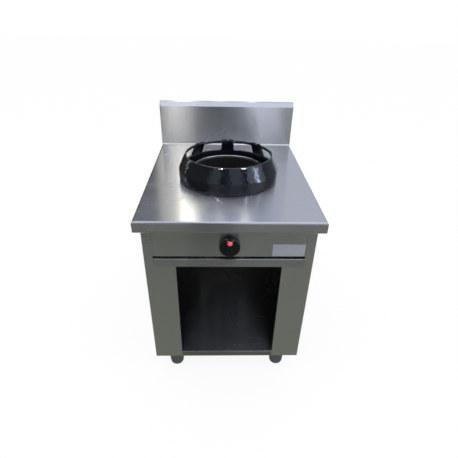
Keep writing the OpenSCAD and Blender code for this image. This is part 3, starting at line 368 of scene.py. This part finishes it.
def well_dark_stainless(steel):
    """Stainless collar round a flame: a bright rim, and below it darker and dull, mottled with runs."""
    material, tree, place = start_material("Stainless, darker below the rim")
    height = add_node(tree, "ShaderNodeSeparateXYZ", {0: place}).outputs["Z"]
    runs = add_node(tree, "ShaderNodeTexNoise", {"Vector": place, "Scale": 1 / steel.well_dark_run,
                                                 "Detail": 5}).outputs[0]
    ragged = add_node(tree, "ShaderNodeMath", {0: runs, 1: steel.well_dark_edge, 2: height},
                      operation="MULTIPLY_ADD")
    shining = add_node(tree, "ShaderNodeMapRange", {
        "Value": ragged.outputs[0], "From Min": WELL_TOP - steel.bare_rim,
        "From Max": WELL_TOP - steel.bare_rim / 2}).outputs[0]
    # Below the rim the collar turns darker, dull and not metallic
    dark_mottle = add_node(tree, "ShaderNodeMix", {0: runs, 6: shade(steel.well_dark, 0.4), 7: shade(steel.well_dark)},
                      data_type="RGBA")
    close_material(tree, (shining, dark_mottle.outputs[2], shade(steel.bright)), (shining, 0.6, 0.18),
                   others={"Metallic": shining})
    return material


def mill_stainless(steel):
    """Stainless sheet as it leaves the mill: even and dull, with a faint cloudiness and rolling lines."""
    material, tree, place = start_material("Mill-finish stainless")
    clouds = add_node(tree, "ShaderNodeTexNoise", {"Vector": place, "Scale": 1 / steel.cloud, "Detail": 5})
    along, across = 8, 1 / steel.rolling
    drawn = add_node(tree, "ShaderNodeMapping", {"Vector": place, "Scale": (along, along, across)})
    rolled = add_node(tree, "ShaderNodeTexNoise", {"Vector": drawn.outputs[0], "Scale": 1,
                                                   "Detail": 2}).outputs[0]
    close_material(tree, (clouds.outputs[0], shade(steel.mill, 0.8), shade(steel.mill)),
                   (rolled, 0.4, 0.56), (rolled, 0.1, 0.2 * MM), METAL)
    return material


def galvanised_sheet(steel):
    """Hot-dip galvanised sheet: a patchwork of zinc crystals, each with its own grey and gloss."""
    material, tree, place = start_material("Galvanised steel")
    crystals = add_node(tree, "ShaderNodeTexVoronoi", {"Vector": place, "Scale": 1 / steel.spangle})
    grey, gloss, rise = add_node(tree, "ShaderNodeSeparateColor", {0: crystals.outputs["Color"]}).outputs
    close_material(tree, (grey, shade(steel.zinc, 0.72), shade(steel.zinc)), (gloss, 0.34, 0.52),
                   (rise, 0.08, 0.1 * MM), METAL)
    return material


def plated_steel(steel):
    """Zinc-plated screws and bolts: bright and slightly blue, with handling marks."""
    material, tree, place = start_material("Zinc-plated steel")
    marks = add_node(tree, "ShaderNodeTexNoise", {"Vector": place, "Scale": 1 / steel.handling,
                                                  "Detail": 4}).outputs[0]
    close_material(tree, (marks, shade(steel.zinc, 0.75), shade(steel.zinc)), (marks, 0.2, 0.42),
                   others=METAL)
    return material


def satin_tube(steel):
    """Drawn stainless tube: dull, with fine rings round it from polishing and cloudy scuffs."""
    material, tree, place = start_material("Satin stainless tube")
    round_it, along = 6, 1 / steel.polish
    drawn = add_node(tree, "ShaderNodeMapping", {"Vector": place, "Scale": (round_it, round_it, along)})
    rings = add_node(tree, "ShaderNodeTexNoise", {"Vector": drawn.outputs[0], "Scale": 1,
                                                  "Detail": 3}).outputs[0]
    scuffs = add_node(tree, "ShaderNodeTexNoise", {"Vector": place, "Scale": 1 / steel.scuff, "Detail": 6})
    close_material(tree, (scuffs.outputs[0], shade(steel.tube, 0.7), shade(steel.tube)),
                   (rings, 0.3, 0.46), (rings, 0.1, 0.1 * MM), METAL)
    return material


def black_enamel(ring):
    """Glass enamel fired on a rough casting: deep black and wet, with an orange-peel skin that breaks up
    highlights."""
    material, tree, place = start_material("Black vitreous enamel")
    peel = add_node(tree, "ShaderNodeTexNoise", {"Vector": place, "Scale": 1 / ring.peel, "Detail": 2,
                                                 "Roughness": 0.45})
    lumps = add_node(tree, "ShaderNodeTexNoise", {"Vector": place, "Scale": 1 / (4 * ring.peel),
                                                  "Detail": 1}).outputs[0]
    pits = add_node(tree, "ShaderNodeTexVoronoi", {"Vector": place, "Scale": 1 / (2.4 * ring.peel)})
    speck = add_node(tree, "ShaderNodeMapRange", {"Value": pits.outputs["Distance"], "From Max": 0.12})
    height = add_node(tree, "ShaderNodeMath", {0: lumps, 1: 2, 2: peel.outputs[0]},
                      operation="MULTIPLY_ADD")
    close_material(tree, (lumps, shade(ring.enamel), shade(ring.burnt)), (speck.outputs[0], 0.16, 0.05),
                   (height.outputs[0], 0.8, ring.peel_depth), {"IOR": 1.54})
    return material


def cast_iron(burner):
    """Grey cast iron from a sand mould: a dull, grainy dark skin, browner where the heat has reached it."""
    material, tree, place = start_material("Grey cast iron")
    sand = add_node(tree, "ShaderNodeTexNoise", {"Vector": place, "Scale": 1 / burner.sand, "Detail": 4,
                                                 "Roughness": 0.7}).outputs[0]
    heat = add_node(tree, "ShaderNodeTexNoise", {"Vector": place, "Scale": 1 / burner.heat, "Detail": 4})
    close_material(tree, (heat.outputs[0], shade(burner.iron), shade(burner.rust)), (sand, 0.5, 0.8),
                   (sand, 0.45, 0.5 * MM), {"Metallic": 0.55})
    return material


def turned_brass(burner):
    """Free-cutting brass from a lathe: bright, with turning marks and darker hollows."""
    material, tree, place = start_material("Turned brass")
    round_it, along = 40, 1 / burner.turn_pitch
    drawn = add_node(tree, "ShaderNodeMapping", {"Vector": place, "Scale": (round_it, along, round_it)})
    marks = add_node(tree, "ShaderNodeTexNoise", {"Vector": drawn.outputs[0], "Scale": 1, "Detail": 2})
    stain = add_node(tree, "ShaderNodeTexNoise", {"Vector": place, "Scale": 1 / burner.stain,
                                                  "Detail": 5}).outputs[0]
    close_material(tree, (stain, shade(burner.tarnish), shade(burner.brass)), (stain, 0.42, 0.2),
                   (marks.outputs[0], 0.15, 0.1 * MM), METAL)
    return material


def drawn_copper(burner):
    """Drawn copper tube: warm and soft in its gloss, darkening in patches."""
    material, tree, place = start_material("Drawn copper")
    patches = add_node(tree, "ShaderNodeTexNoise", {"Vector": place, "Scale": 1 / burner.patch, "Detail": 6,
                                                    "Roughness": 0.6}).outputs[0]
    close_material(tree, (patches, shade(burner.oxide), shade(burner.copper)), (patches, 0.46, 0.22),
                   others=METAL)
    return material


def moulded(name, paint, grain, rough_low, rough_high, strength):
    """Moulded plastic: one colour with the tool's fine grain in its gloss."""
    material, tree, place = start_material(name)
    skin = add_node(tree, "ShaderNodeTexNoise", {"Vector": place, "Scale": 1 / grain,
                                                 "Detail": 3}).outputs[0]
    close_material(tree, (skin, shade(paint), shade(paint, 1.3, 0.001)), (skin, rough_low, rough_high),
                   (skin, strength, 0.2 * MM), {"IOR": 1.5})
    return material


def printed_ink(name, paint, screen):
    """Screen-printed ink: thin and matt, a little uneven where the screen's mesh shows."""
    material, tree, place = start_material(name)
    mesh = add_node(tree, "ShaderNodeTexNoise", {"Vector": place, "Scale": 1 / screen,
                                                 "Detail": 2}).outputs[0]
    close_material(tree, (mesh, shade(paint), shade(paint, 1.25, 0.01)), (mesh, 0.5, 0.7))
    return material


def sealant(controls):
    """Food-safe sealant: pale and slightly waxy, smoothed by a finger so that its gloss wanders."""
    material, tree, place = start_material("Silicone sealant")
    wipe = add_node(tree, "ShaderNodeTexNoise", {"Vector": place, "Scale": 1 / controls.seal_wipe,
                                                 "Detail": 3}).outputs[0]
    close_material(tree, (wipe, shade(controls.seal, 0.86), shade(controls.seal)), (wipe, 0.3, 0.5))
    return material


def satin_aluminium(controls):
    """Anodised aluminium plate: pale, even and soft in its gloss, with a fine matt grain and a few faint
    rubs."""
    material, tree, place = start_material("Anodised aluminium")
    grain = add_node(tree, "ShaderNodeTexNoise", {"Vector": place, "Scale": 1 / controls.plate_grain,
                                                  "Detail": 3})
    rubs = add_node(tree, "ShaderNodeTexNoise", {"Vector": place, "Scale": 1 / controls.plate_rub,
                                                 "Detail": 3})
    close_material(tree, (rubs.outputs[0], shade(controls.plate, 0.85), shade(controls.plate)),
                   (grain.outputs[0], 0.46, 0.6), others={"Metallic": 0.35})
    return material


def dress(names, material):
    """Gives CAD nodes their finish."""
    for name in names:
        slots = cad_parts[name].data.materials
        slots.clear()
        slots.append(material)


def make_piece(bm, name, material, body, sharp_degrees=35):
    """Turns a finished bmesh into a piece that rides on a body and takes the given finish."""
    mesh = bpy.data.meshes.new(name)
    bm.to_mesh(mesh)
    bm.free()
    mesh.shade_smooth()
    mesh.set_sharp_from_angle(angle=math.radians(sharp_degrees))
    mesh.materials.append(material)
    piece = bpy.data.objects.new(name, mesh)
    bpy.context.scene.collection.objects.link(piece)
    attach(piece, body)
    return piece


def settings_of(context):
    """The range's settings."""
    return context.scene.wok_range


class WOKRANGE_OT_sheet_steel(bpy.types.Operator):
    """Finish the folded sheets, the back panel and the hidden brackets"""

    bl_idname = "wokrange.sheet_steel"
    bl_label = "Sheet steel"

    def execute(self, context):
        steel = settings_of(context).steel
        dress(["worktop", "splashback", "splashback_cover", "control_panel", "left_side_panel",
               "right_side_panel"], brushed_stainless(steel, "Brushed stainless", 1))
        # Painted shade: the drip tray gets a darker copy of the brushed sheet
        dress(["drip_tray"], brushed_stainless(steel, "Brushed stainless, handled", steel.painted_shade_tray))
        # Painted shade: the shelf inside the cabinet gets a darker copy of the brushed sheet
        dress(["bottom_shelf"], brushed_stainless(steel, "Brushed stainless, greasy", steel.painted_shade_shelf))
        dress(["burner_well"], well_dark_stainless(steel))
        dress(["back_panel"], mill_stainless(steel))
        dress(["worktop_stiffener_left", "worktop_stiffener_right", "tray_runner_left", "tray_runner_right",
               "burner_rail_front", "burner_rail_rear", "air_shutter", "pilot_bracket", "supply_pipe"],
              galvanised_sheet(steel))
        dress(["back_panel_screws", "burner_bolts"], plated_steel(steel))
        return {"FINISHED"}


class WOKRANGE_OT_wok_ring(bpy.types.Operator):
    """Model the cast ring with its windows, posts and pads"""

    bl_idname = "wokrange.wok_ring"
    bl_label = "Wok ring"

    def execute(self, context):
        ring = settings_of(context).ring
        height = RING_HIGH.z - RING_LOW.z - ring.pad
        rim_z = height - ring.wall / 2
        window_top = height - ring.hoop
        bm = bmesh.new()
        section, rim_r = self.section(ring, rim_z, window_top)
        spans = self.sweep(bm, ring, section, rim_r)
        self.open_windows(bm, ring, spans, window_top)
        self.raise_pads(bm, ring, spans, height, rim_z)
        self.round_edges(bm, ring)
        piece = make_piece(bm, "cast_wok_ring", black_enamel(ring), "ring")
        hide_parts("wok_ring")
        return {"FINISHED"}

    def section(self, ring, rim_z, window_top):
        """Points of the casting's section, as radius and height, and the radius of its rim."""
        half, lean = ring.wall / 2, ring.lean
        outer_r = (RING_HIGH.x - RING_LOW.x) / 2
        mid_r = outer_r - ring.shoulder
        bend_r = ring.shoulder - half
        slant = (rim_z - ring.skirt - bend_r * math.sin(lean)) / math.cos(lean)
        rim_r = mid_r + bend_r * math.cos(lean) - slant * math.sin(lean)

        def turns(start, whole, steps):
            """Angles in even steps."""
            return [start + whole * i / steps for i in range(steps + 1)]

        def foot(inset):
            """The tucked foot, a quarter of an ellipse."""
            return [(outer_r - inset - ring.tuck * (1 - math.sin(a)), ring.tuck_height * (1 - math.cos(a)))
                    for a in turns(0, math.pi / 2, BEND_STEPS)]

        def shoulder(radius):
            """The bend from the skirt to the cone."""
            return [(mid_r + radius * math.cos(a), ring.skirt + radius * math.sin(a))
                    for a in turns(0, lean, BEND_STEPS)]

        def on_line(low, high, z):
            """The point at a height on the line between two points."""
            along = (z - low[1]) / (high[1] - low[1])
            return low[0] + along * (high[0] - low[0]), z

        rim = [(rim_r + half * math.cos(a), rim_z + half * math.sin(a))
               for a in turns(lean, math.pi, RIM_STEPS)]
        outside, inside = shoulder(ring.shoulder), shoulder(ring.shoulder - ring.wall)
        points = [*foot(0), *outside, on_line(outside[-1], rim[0], ring.sill),
                  on_line(outside[-1], rim[0], window_top), *rim,
                  on_line(inside[-1], rim[-1], window_top), on_line(inside[-1], rim[-1], ring.sill),
                  *reversed(inside), *reversed(foot(ring.wall))]
        return points, rim_r

    def sweep(self, bm, ring, section, rim_r):
        """Turns the section round the axis, and lists the spans' kinds with their faces."""
        points = [bm.verts.new(RING_CENTRE + Vector((r, 0, z))) for r, z in section]
        edges = [bm.edges.new((points[i], points[(i + 1) % len(points)])) for i in range(len(points))]
        start = math.pi / 2 - (POSTS - 1) / 2 * ring.pitch - ring.post / 2
        bmesh.ops.rotate(bm, verts=points, cent=RING_CENTRE, matrix=Matrix.Rotation(start, 3, "Z"))
        notch = ring.notch / rim_r
        cheek = ("post", (ring.post - notch) / 2)
        plan = []
        for i in range(POSTS):
            plan += [cheek, ("notch", notch), cheek]
            if i < POSTS - 1:
                plan.append(("window", ring.pitch - ring.post))
        plan.append(("wall", 2 * math.pi - sum(turn for kind, turn in plan)))
        spans = []
        for kind, turn in plan:
            before = set(bm.faces)
            done = bmesh.ops.spin(bm, geom=edges, cent=RING_CENTRE, axis=UP, dvec=(0, 0, 0), angle=turn,
                                  steps=SPAN_STEPS[kind], use_merge=False, use_normal_flip=False,
                                  use_duplicate=False)
            edges = [g for g in done["geom_last"] if isinstance(g, bmesh.types.BMEdge)]
            spans.append((kind, [f for f in bm.faces if f not in before]))
        bmesh.ops.remove_doubles(bm, verts=bm.verts, dist=WELD)
        bmesh.ops.recalc_face_normals(bm, faces=bm.faces)
        return spans

    def open_windows(self, bm, ring, spans, window_top):
        """Takes out the wall between the posts and closes the cut."""
        low = RING_CENTRE.z + ring.sill - LEVEL
        high = RING_CENTRE.z + window_top + LEVEL
        for kind, faces in spans:
            if kind == "window":
                gone = [f for f in faces if f.is_valid and all(low < v.co.z < high for v in f.verts)]
                bmesh.ops.delete(bm, geom=gone, context="FACES")
                bmesh.ops.bridge_loops(bm, edges=[e for e in bm.edges if e.is_boundary])

    def raise_pads(self, bm, ring, spans, height, rim_z):
        """Raises the posts' tops into pads and sinks the notches between them."""
        base = RING_CENTRE.z

        def tops(wanted):
            """The faces on top of the rim in one kind of span."""
            return [f for kind, faces in spans if kind == wanted for f in faces
                    if f.is_valid and f.normal.z > LOOKS_UP and f.calc_center_median().z - base > rim_z]

        crown = tops("post")
        for v in bmesh.ops.extrude_face_region(bm, geom=crown)["geom"]:
            if isinstance(v, bmesh.types.BMVert):
                v.co.z = base + height + ring.pad
        low = {v for f in tops("notch") for v in f.verts}
        bmesh.ops.delete(bm, geom=crown, context="FACES")
        for v in low:
            if v.co.z - base < height + LEVEL:
                v.co.z = min(v.co.z, base + height - ring.notch_sink)

    def round_edges(self, bm, ring):
        """Rounds the casting's sharp edges, apart from those it stands on."""
        bmesh.ops.recalc_face_normals(bm, faces=bm.faces)
        bm.normal_update()
        sharp = [e for e in bm.edges if e.is_manifold and e.calc_face_angle() > SHARP
                 and max(v.co.z for v in e.verts) > RING_CENTRE.z + ring.edge]
        bmesh.ops.bevel(bm, geom=sharp, offset=ring.edge, offset_type="OFFSET", segments=3, profile=0.5,
                        affect="EDGES", material=-1, clamp_overlap=True)


class WOKRANGE_OT_burner(bpy.types.Operator):
    """Finish the burner castings and the gas line"""

    bl_idname = "wokrange.burner"
    bl_label = "Burner and gas line"

    def execute(self, context):
        burner = settings_of(context).burner
        dress(["burner_body", "burner_cap"], cast_iron(burner))
        dress(["injector", "pipe_nuts", "gas_valve", "valve_nut", "valve_spindle", "inlet_fitting",
               "inlet_locknut", "pilot_burner"], turned_brass(burner))
        dress(["feed_pipe", "pilot_tube", "thermocouple", "thermocouple_lead"], drawn_copper(burner))
        return {"FINISHED"}


class WOKRANGE_OT_knob(bpy.types.Operator):
    """Finish the knob, its pointer and bezel, and print the two marks of the dial"""

    bl_idname = "wokrange.knob"
    bl_label = "Knob"

    def execute(self, context):
        controls = settings_of(context).controls
        black, red = controls.black, controls.red
        dress(["control_knob", "knob_bezel"], moulded(
            "Black phenolic", black, grain=1.5 * MM, rough_low=0.14, rough_high=0.24, strength=0.06))
        dress(["knob_pointer"], moulded(
            "Red polycarbonate", red, grain=4 * MM, rough_low=0.06, rough_high=0.12, strength=0.04))
        self.mark("dial_mark_off", controls, controls.off_ring, controls.off_angle,
                  printed_ink("Black ink", black, controls.screen), "black_plastic")
        self.mark("dial_mark_high", controls, controls.high_ring, controls.high_angle,
                  printed_ink("Red ink", red, controls.screen), "red_plastic")
        return {"FINISHED"}

    def mark(self, name, controls, away, turn, material, slot):
        """A printed dot on the panel, turned from upright round the knob."""
        bm = bmesh.new()
        place = DIAL_CENTRE + away * Vector((math.sin(turn), 0, math.cos(turn)))
        place.y -= controls.ink / 2
        stand = Matrix.Translation(place) @ Matrix.Rotation(math.pi / 2, 4, "X")
        bmesh.ops.create_cone(bm, cap_ends=True, segments=24, radius1=controls.mark, radius2=controls.mark,
                              depth=controls.ink, matrix=stand)
        make_piece(bm, name, material, "cabinet")


class WOKRANGE_OT_plate(bpy.types.Operator):
    """Model the bare plate on the control panel with its rivets"""

    bl_idname = "wokrange.plate"
    bl_label = "Bare plate"

    def execute(self, context):
        controls = settings_of(context).controls
        bm = bmesh.new()
        width, thick, height = controls.plate_width, controls.plate_thick, controls.plate_height
        right, low = PANEL_HIGH.x - controls.plate_side, PANEL_LOW.z + controls.plate_foot
        centre = Vector((right - width / 2, PANEL_LOW.y - thick / 2, low + height / 2))
        bmesh.ops.create_cube(bm, size=1, matrix=Matrix.Translation(centre)
                              @ Matrix.Diagonal((width, thick, height, 1)))
        corners = [e for e in bm.edges if abs(e.verts[0].co.y - e.verts[1].co.y) > thick / 2]
        bmesh.ops.bevel(bm, geom=corners, offset=controls.plate_corner, offset_type="OFFSET", segments=5,
                        profile=0.5, affect="EDGES", material=-1)
        front = PANEL_LOW.y - thick
        rim = [e for e in bm.edges if all(abs(v.co.y - front) < LEVEL for v in e.verts)]
        bmesh.ops.bevel(bm, geom=rim, offset=controls.plate_rim, offset_type="OFFSET", segments=2,
                        profile=0.5, affect="EDGES", material=-1)
        make_piece(bm, "bare_plate", satin_aluminium(controls), "cabinet")
        self.rivets(controls, centre)
        return {"FINISHED"}

    def rivets(self, controls, centre):
        """Four dome rivets at the plate's corners."""
        bm = bmesh.new()
        dome = Matrix.Diagonal((1, controls.rivet_flat, 1, 1))
        for x in (-1, 1):
            for z in (-1, 1):
                place = centre + Vector((x * (controls.plate_width / 2 - controls.rivet_inset), 0,
                                         z * (controls.plate_height / 2 - controls.rivet_inset)))
                bmesh.ops.create_uvsphere(bm, u_segments=20, v_segments=10, radius=controls.rivet,
                                          matrix=Matrix.Translation(place) @ dome)
        make_piece(bm, "plate_rivets", satin_aluminium(controls), "cabinet")


class WOKRANGE_OT_seal(bpy.types.Operator):
    """Run the bead of sealant along the foot of the splashback"""

    bl_idname = "wokrange.seal"
    bl_label = "Sealant"

    def execute(self, context):
        controls = settings_of(context).controls
        width = controls.seal_width
        corner = Vector((SPLASH_LOW.x + width, SPLASH_LOW.y, WORKTOP_TOP))
        hollow = [Vector((0, -width * (1 - math.sin(a)), width * (1 - math.cos(a))))
                  for a in (math.pi / 2 * i / BEND_STEPS for i in range(BEND_STEPS + 1))]
        bm = bmesh.new()
        section = bm.faces.new([bm.verts.new(corner + p) for p in [Vector(), *hollow]])
        ends = bmesh.ops.extrude_face_region(bm, geom=[section], use_keep_orig=True)["geom"]
        run = Vector((SPLASH_HIGH.x - SPLASH_LOW.x - 2 * width, 0, 0))
        bmesh.ops.translate(bm, verts=[v for v in ends if isinstance(v, bmesh.types.BMVert)], vec=run)
        bmesh.ops.recalc_face_normals(bm, faces=bm.faces)
        make_piece(bm, "splashback_seal", sealant(controls), "cabinet")
        return {"FINISHED"}


class WOKRANGE_OT_legs(bpy.types.Operator):
    """Finish the leg tubes and the screw feet"""

    bl_idname = "wokrange.legs"
    bl_label = "Legs and feet"

    def execute(self, context):
        settings = settings_of(context)
        corners = [f"{end}_{side}" for end in ("front", "rear") for side in ("left", "right")]
        dress([f"leg_{c}" for c in corners], satin_tube(settings.steel))
        dress([f"foot_{c}" for c in corners], moulded(
            "Grey polyamide", settings.controls.feet, grain=0.9 * MM, rough_low=0.45, rough_high=0.62,
            strength=0.25))
        return {"FINISHED"}


class WOKRANGE_OT_stage(bpy.types.Operator):
    """Set the floor, the studio light and the camera"""

    bl_idname = "wokrange.stage"
    bl_label = "Studio"

    def execute(self, context):
        scene = context.scene
        stage = settings_of(context).stage
        scene.view_settings.view_transform = "Standard"
        self.floor(stage)
        self.world(scene, stage)
        self.lamps(scene, LAMPS)
        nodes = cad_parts
        glossy = [bpy.data.objects["cast_wok_ring"], nodes["control_knob"], nodes["knob_pointer"]]
        for holder in self.lamps(scene, GLINTS):
            holder.visible_glossy = True
            self.only_for(holder, glossy)
        self.cards(CARDS)
        for card in self.cards(SPLASH_CARDS, clear=True):
            self.only_for(card, [nodes["splashback"]])
        self.camera(scene, stage)
        return {"FINISHED"}

    def floor(self, stage):
        """Painted floor, pale and even: nearly white to the eye and in the metal, with a soft shadow."""
        material, tree, place = start_material("Painted floor")
        cloud = add_node(tree, "ShaderNodeTexNoise", {"Vector": place, "Scale": 1 / stage.floor_cloud,
                                                      "Detail": 4})
        tone = add_node(tree, "ShaderNodeMix", {0: cloud.outputs[0], 6: shade(stage.floor, 0.985),
                                                7: shade(stage.floor)}, data_type="RGBA")
        paint = add_node(tree, "ShaderNodeBsdfDiffuse", {"Color": tone.outputs[2]})
        white = add_node(tree, "ShaderNodeEmission", {"Color": (1, 1, 1, 1), "Strength": 1})
        seen = self.seen(tree)
        part = add_node(tree, "ShaderNodeMath", {0: seen, 1: stage.paleness}, operation="MULTIPLY")
        both = add_node(tree, "ShaderNodeMixShader", {0: part.outputs[0], 1: paint.outputs[0],
                                                      2: white.outputs[0]})
        add_node(tree, "ShaderNodeOutputMaterial", {"Surface": both.outputs[0]})
        bm = bmesh.new()
        bmesh.ops.create_grid(bm, x_segments=1, y_segments=1, size=stage.floor_size / 2)
        self.stand("studio_floor", bm, material)

    def seen(self, tree):
        """1 for rays from the eye, from gloss and through glass."""
        ray = add_node(tree, "ShaderNodeLightPath")
        gloss = add_node(tree, "ShaderNodeMath",
                         {0: ray.outputs["Is Glossy Ray"], 1: ray.outputs["Is Transmission Ray"]},
                         operation="MAXIMUM")
        return add_node(tree, "ShaderNodeMath", {0: ray.outputs["Is Camera Ray"], 1: gloss.outputs[0]},
                        operation="MAXIMUM").outputs[0]

    def stand(self, name, bm, material):
        """Turns a finished bmesh into a piece of the studio."""
        mesh = bpy.data.meshes.new(name)
        bm.to_mesh(mesh)
        bm.free()
        mesh.materials.append(material)
        made = bpy.data.objects.new(name, mesh)
        bpy.context.scene.collection.objects.link(made)
        return made

    def world(self, scene, stage):
        """Even light from all round."""
        world = bpy.data.worlds.new("Pale studio")
        scene.world = world
        world.use_nodes = True
        tree = world.node_tree
        tree.nodes.clear()
        white = (1, 1, 1)
        tone = add_node(tree, "ShaderNodeMix", {0: self.seen(tree), 6: shade(white, stage.fill),
                                                7: shade(white)}, data_type="RGBA")
        sky = add_node(tree, "ShaderNodeBackground", {"Color": tone.outputs[2], "Strength": 1})
        add_node(tree, "ShaderNodeOutputWorld", {"Surface": sky.outputs[0]})

    def only_for(self, source, pieces):
        """Keeps a lamp's or a card's light to some pieces."""
        shown = bpy.data.collections.new(source.name + "_lit")
        for piece in pieces:
            shown.objects.link(piece)
        source.light_linking.receiver_collection = shown

    def lamps(self, scene, table):
        """Area lamps that light the range. Gloss leaves them out, unless that is changed afterwards."""
        holders = []
        for name, place, aim, width, height, radiance, code in table:
            lamp = bpy.data.lights.new(name, "AREA")
            lamp.shape = "RECTANGLE"
            lamp.size, lamp.size_y = width, height
            lamp.energy = radiance * math.pi * width * height
            lamp.color = linear(code)
            holder = bpy.data.objects.new(name, lamp)
            holder.location = place
            holder.rotation_euler = (Vector(aim) - Vector(place)).to_track_quat("-Z", "Y").to_euler()
            holder.visible_glossy = False
            scene.collection.objects.link(holder)
            holders.append(holder)
        return holders

    def cards(self, table, clear=False):
        """Cards that only gloss sees, to give the bright metal lighter and darker bands to show. Clear ones
        hide nothing behind them."""
        made = []
        for name, low, high, code, strength in table:
            material, tree, spot = start_material(name)
            grain = add_node(tree, "ShaderNodeTexNoise", {"Vector": spot, "Scale": 3, "Detail": 2})
            paint = linear(code)
            tone = add_node(tree, "ShaderNodeMix", {0: grain.outputs[0], 6: shade(paint, 0.94),
                                                    7: shade(paint)}, data_type="RGBA")
            glow = add_node(tree, "ShaderNodeEmission", {"Color": tone.outputs[2], "Strength": strength})
            if clear:
                glass = add_node(tree, "ShaderNodeBsdfTransparent")
                glow = add_node(tree, "ShaderNodeAddShader", {0: glow.outputs[0], 1: glass.outputs[0]})
            add_node(tree, "ShaderNodeOutputMaterial", {"Surface": glow.outputs[0]})
            bm = bmesh.new()
            low, high = Vector(low), Vector(high)
            bmesh.ops.create_cube(bm, size=1, matrix=Matrix.Translation((low + high) / 2)
                                  @ Matrix.Diagonal((*(high - low), 1)))
            card = self.stand(name, bm, material)
            card.visible_camera = card.visible_diffuse = False
            card.visible_shadow = card.visible_transmission = False
            made.append(card)
        return made

    def camera(self, scene, stage):
        """The photo's camera."""
        eye = bpy.data.cameras.new("photo_camera")
        eye.sensor_width = 36
        eye.lens = stage.lens
        eye.shift_y = stage.shift
        eye.clip_start, eye.clip_end = 0.05, 100
        forward = Vector((math.sin(stage.yaw), math.cos(stage.yaw), 0))
        ahead = math.cos(stage.dip) * forward - math.sin(stage.dip) * UP
        right = forward.cross(UP)
        above = right.cross(ahead)
        right, above = (math.cos(stage.roll) * right + math.sin(stage.roll) * above,
                        math.cos(stage.roll) * above - math.sin(stage.roll) * right)
        holder = bpy.data.objects.new("photo_camera", eye)
        turn = Matrix((right, above, -ahead)).transposed().to_4x4()
        holder.matrix_world = Matrix.Translation(stage.place) @ turn
        scene.collection.objects.link(holder)
        scene.camera = holder


OPERATORS = (WOKRANGE_OT_sheet_steel, WOKRANGE_OT_wok_ring, WOKRANGE_OT_burner, WOKRANGE_OT_knob,
             WOKRANGE_OT_plate, WOKRANGE_OT_seal, WOKRANGE_OT_legs, WOKRANGE_OT_stage)


class WOKRANGE_PT_sidebar(bpy.types.Panel):
    """Lists the range's pieces"""

    bl_idname = "WOKRANGE_PT_sidebar"
    bl_label = "Wok range"
    bl_space_type = "VIEW_3D"
    bl_region_type = "UI"
    bl_category = "Wok range"

    def draw(self, context):
        for operator in OPERATORS:
            self.layout.operator(operator.bl_idname)


CLASSES = (WOKRANGE_PG_steel, WOKRANGE_PG_ring, WOKRANGE_PG_burner, WOKRANGE_PG_controls,
           WOKRANGE_PG_stage, WOKRANGE_PG_settings, *OPERATORS, WOKRANGE_PT_sidebar)


def register():
    for cls in CLASSES:
        bpy.utils.register_class(cls)
    bpy.types.Scene.wok_range = PointerProperty(type=WOKRANGE_PG_settings)


def unregister():
    del bpy.types.Scene.wok_range
    for cls in reversed(CLASSES):
        bpy.utils.unregister_class(cls)


def main():
    register()
    bpy.ops.wokrange.sheet_steel()
    bpy.ops.wokrange.wok_ring()
    bpy.ops.wokrange.burner()
    bpy.ops.wokrange.knob()
    bpy.ops.wokrange.plate()
    bpy.ops.wokrange.seal()
    bpy.ops.wokrange.legs()
    bpy.ops.wokrange.stage()


if __name__ == "__main__":
    main()
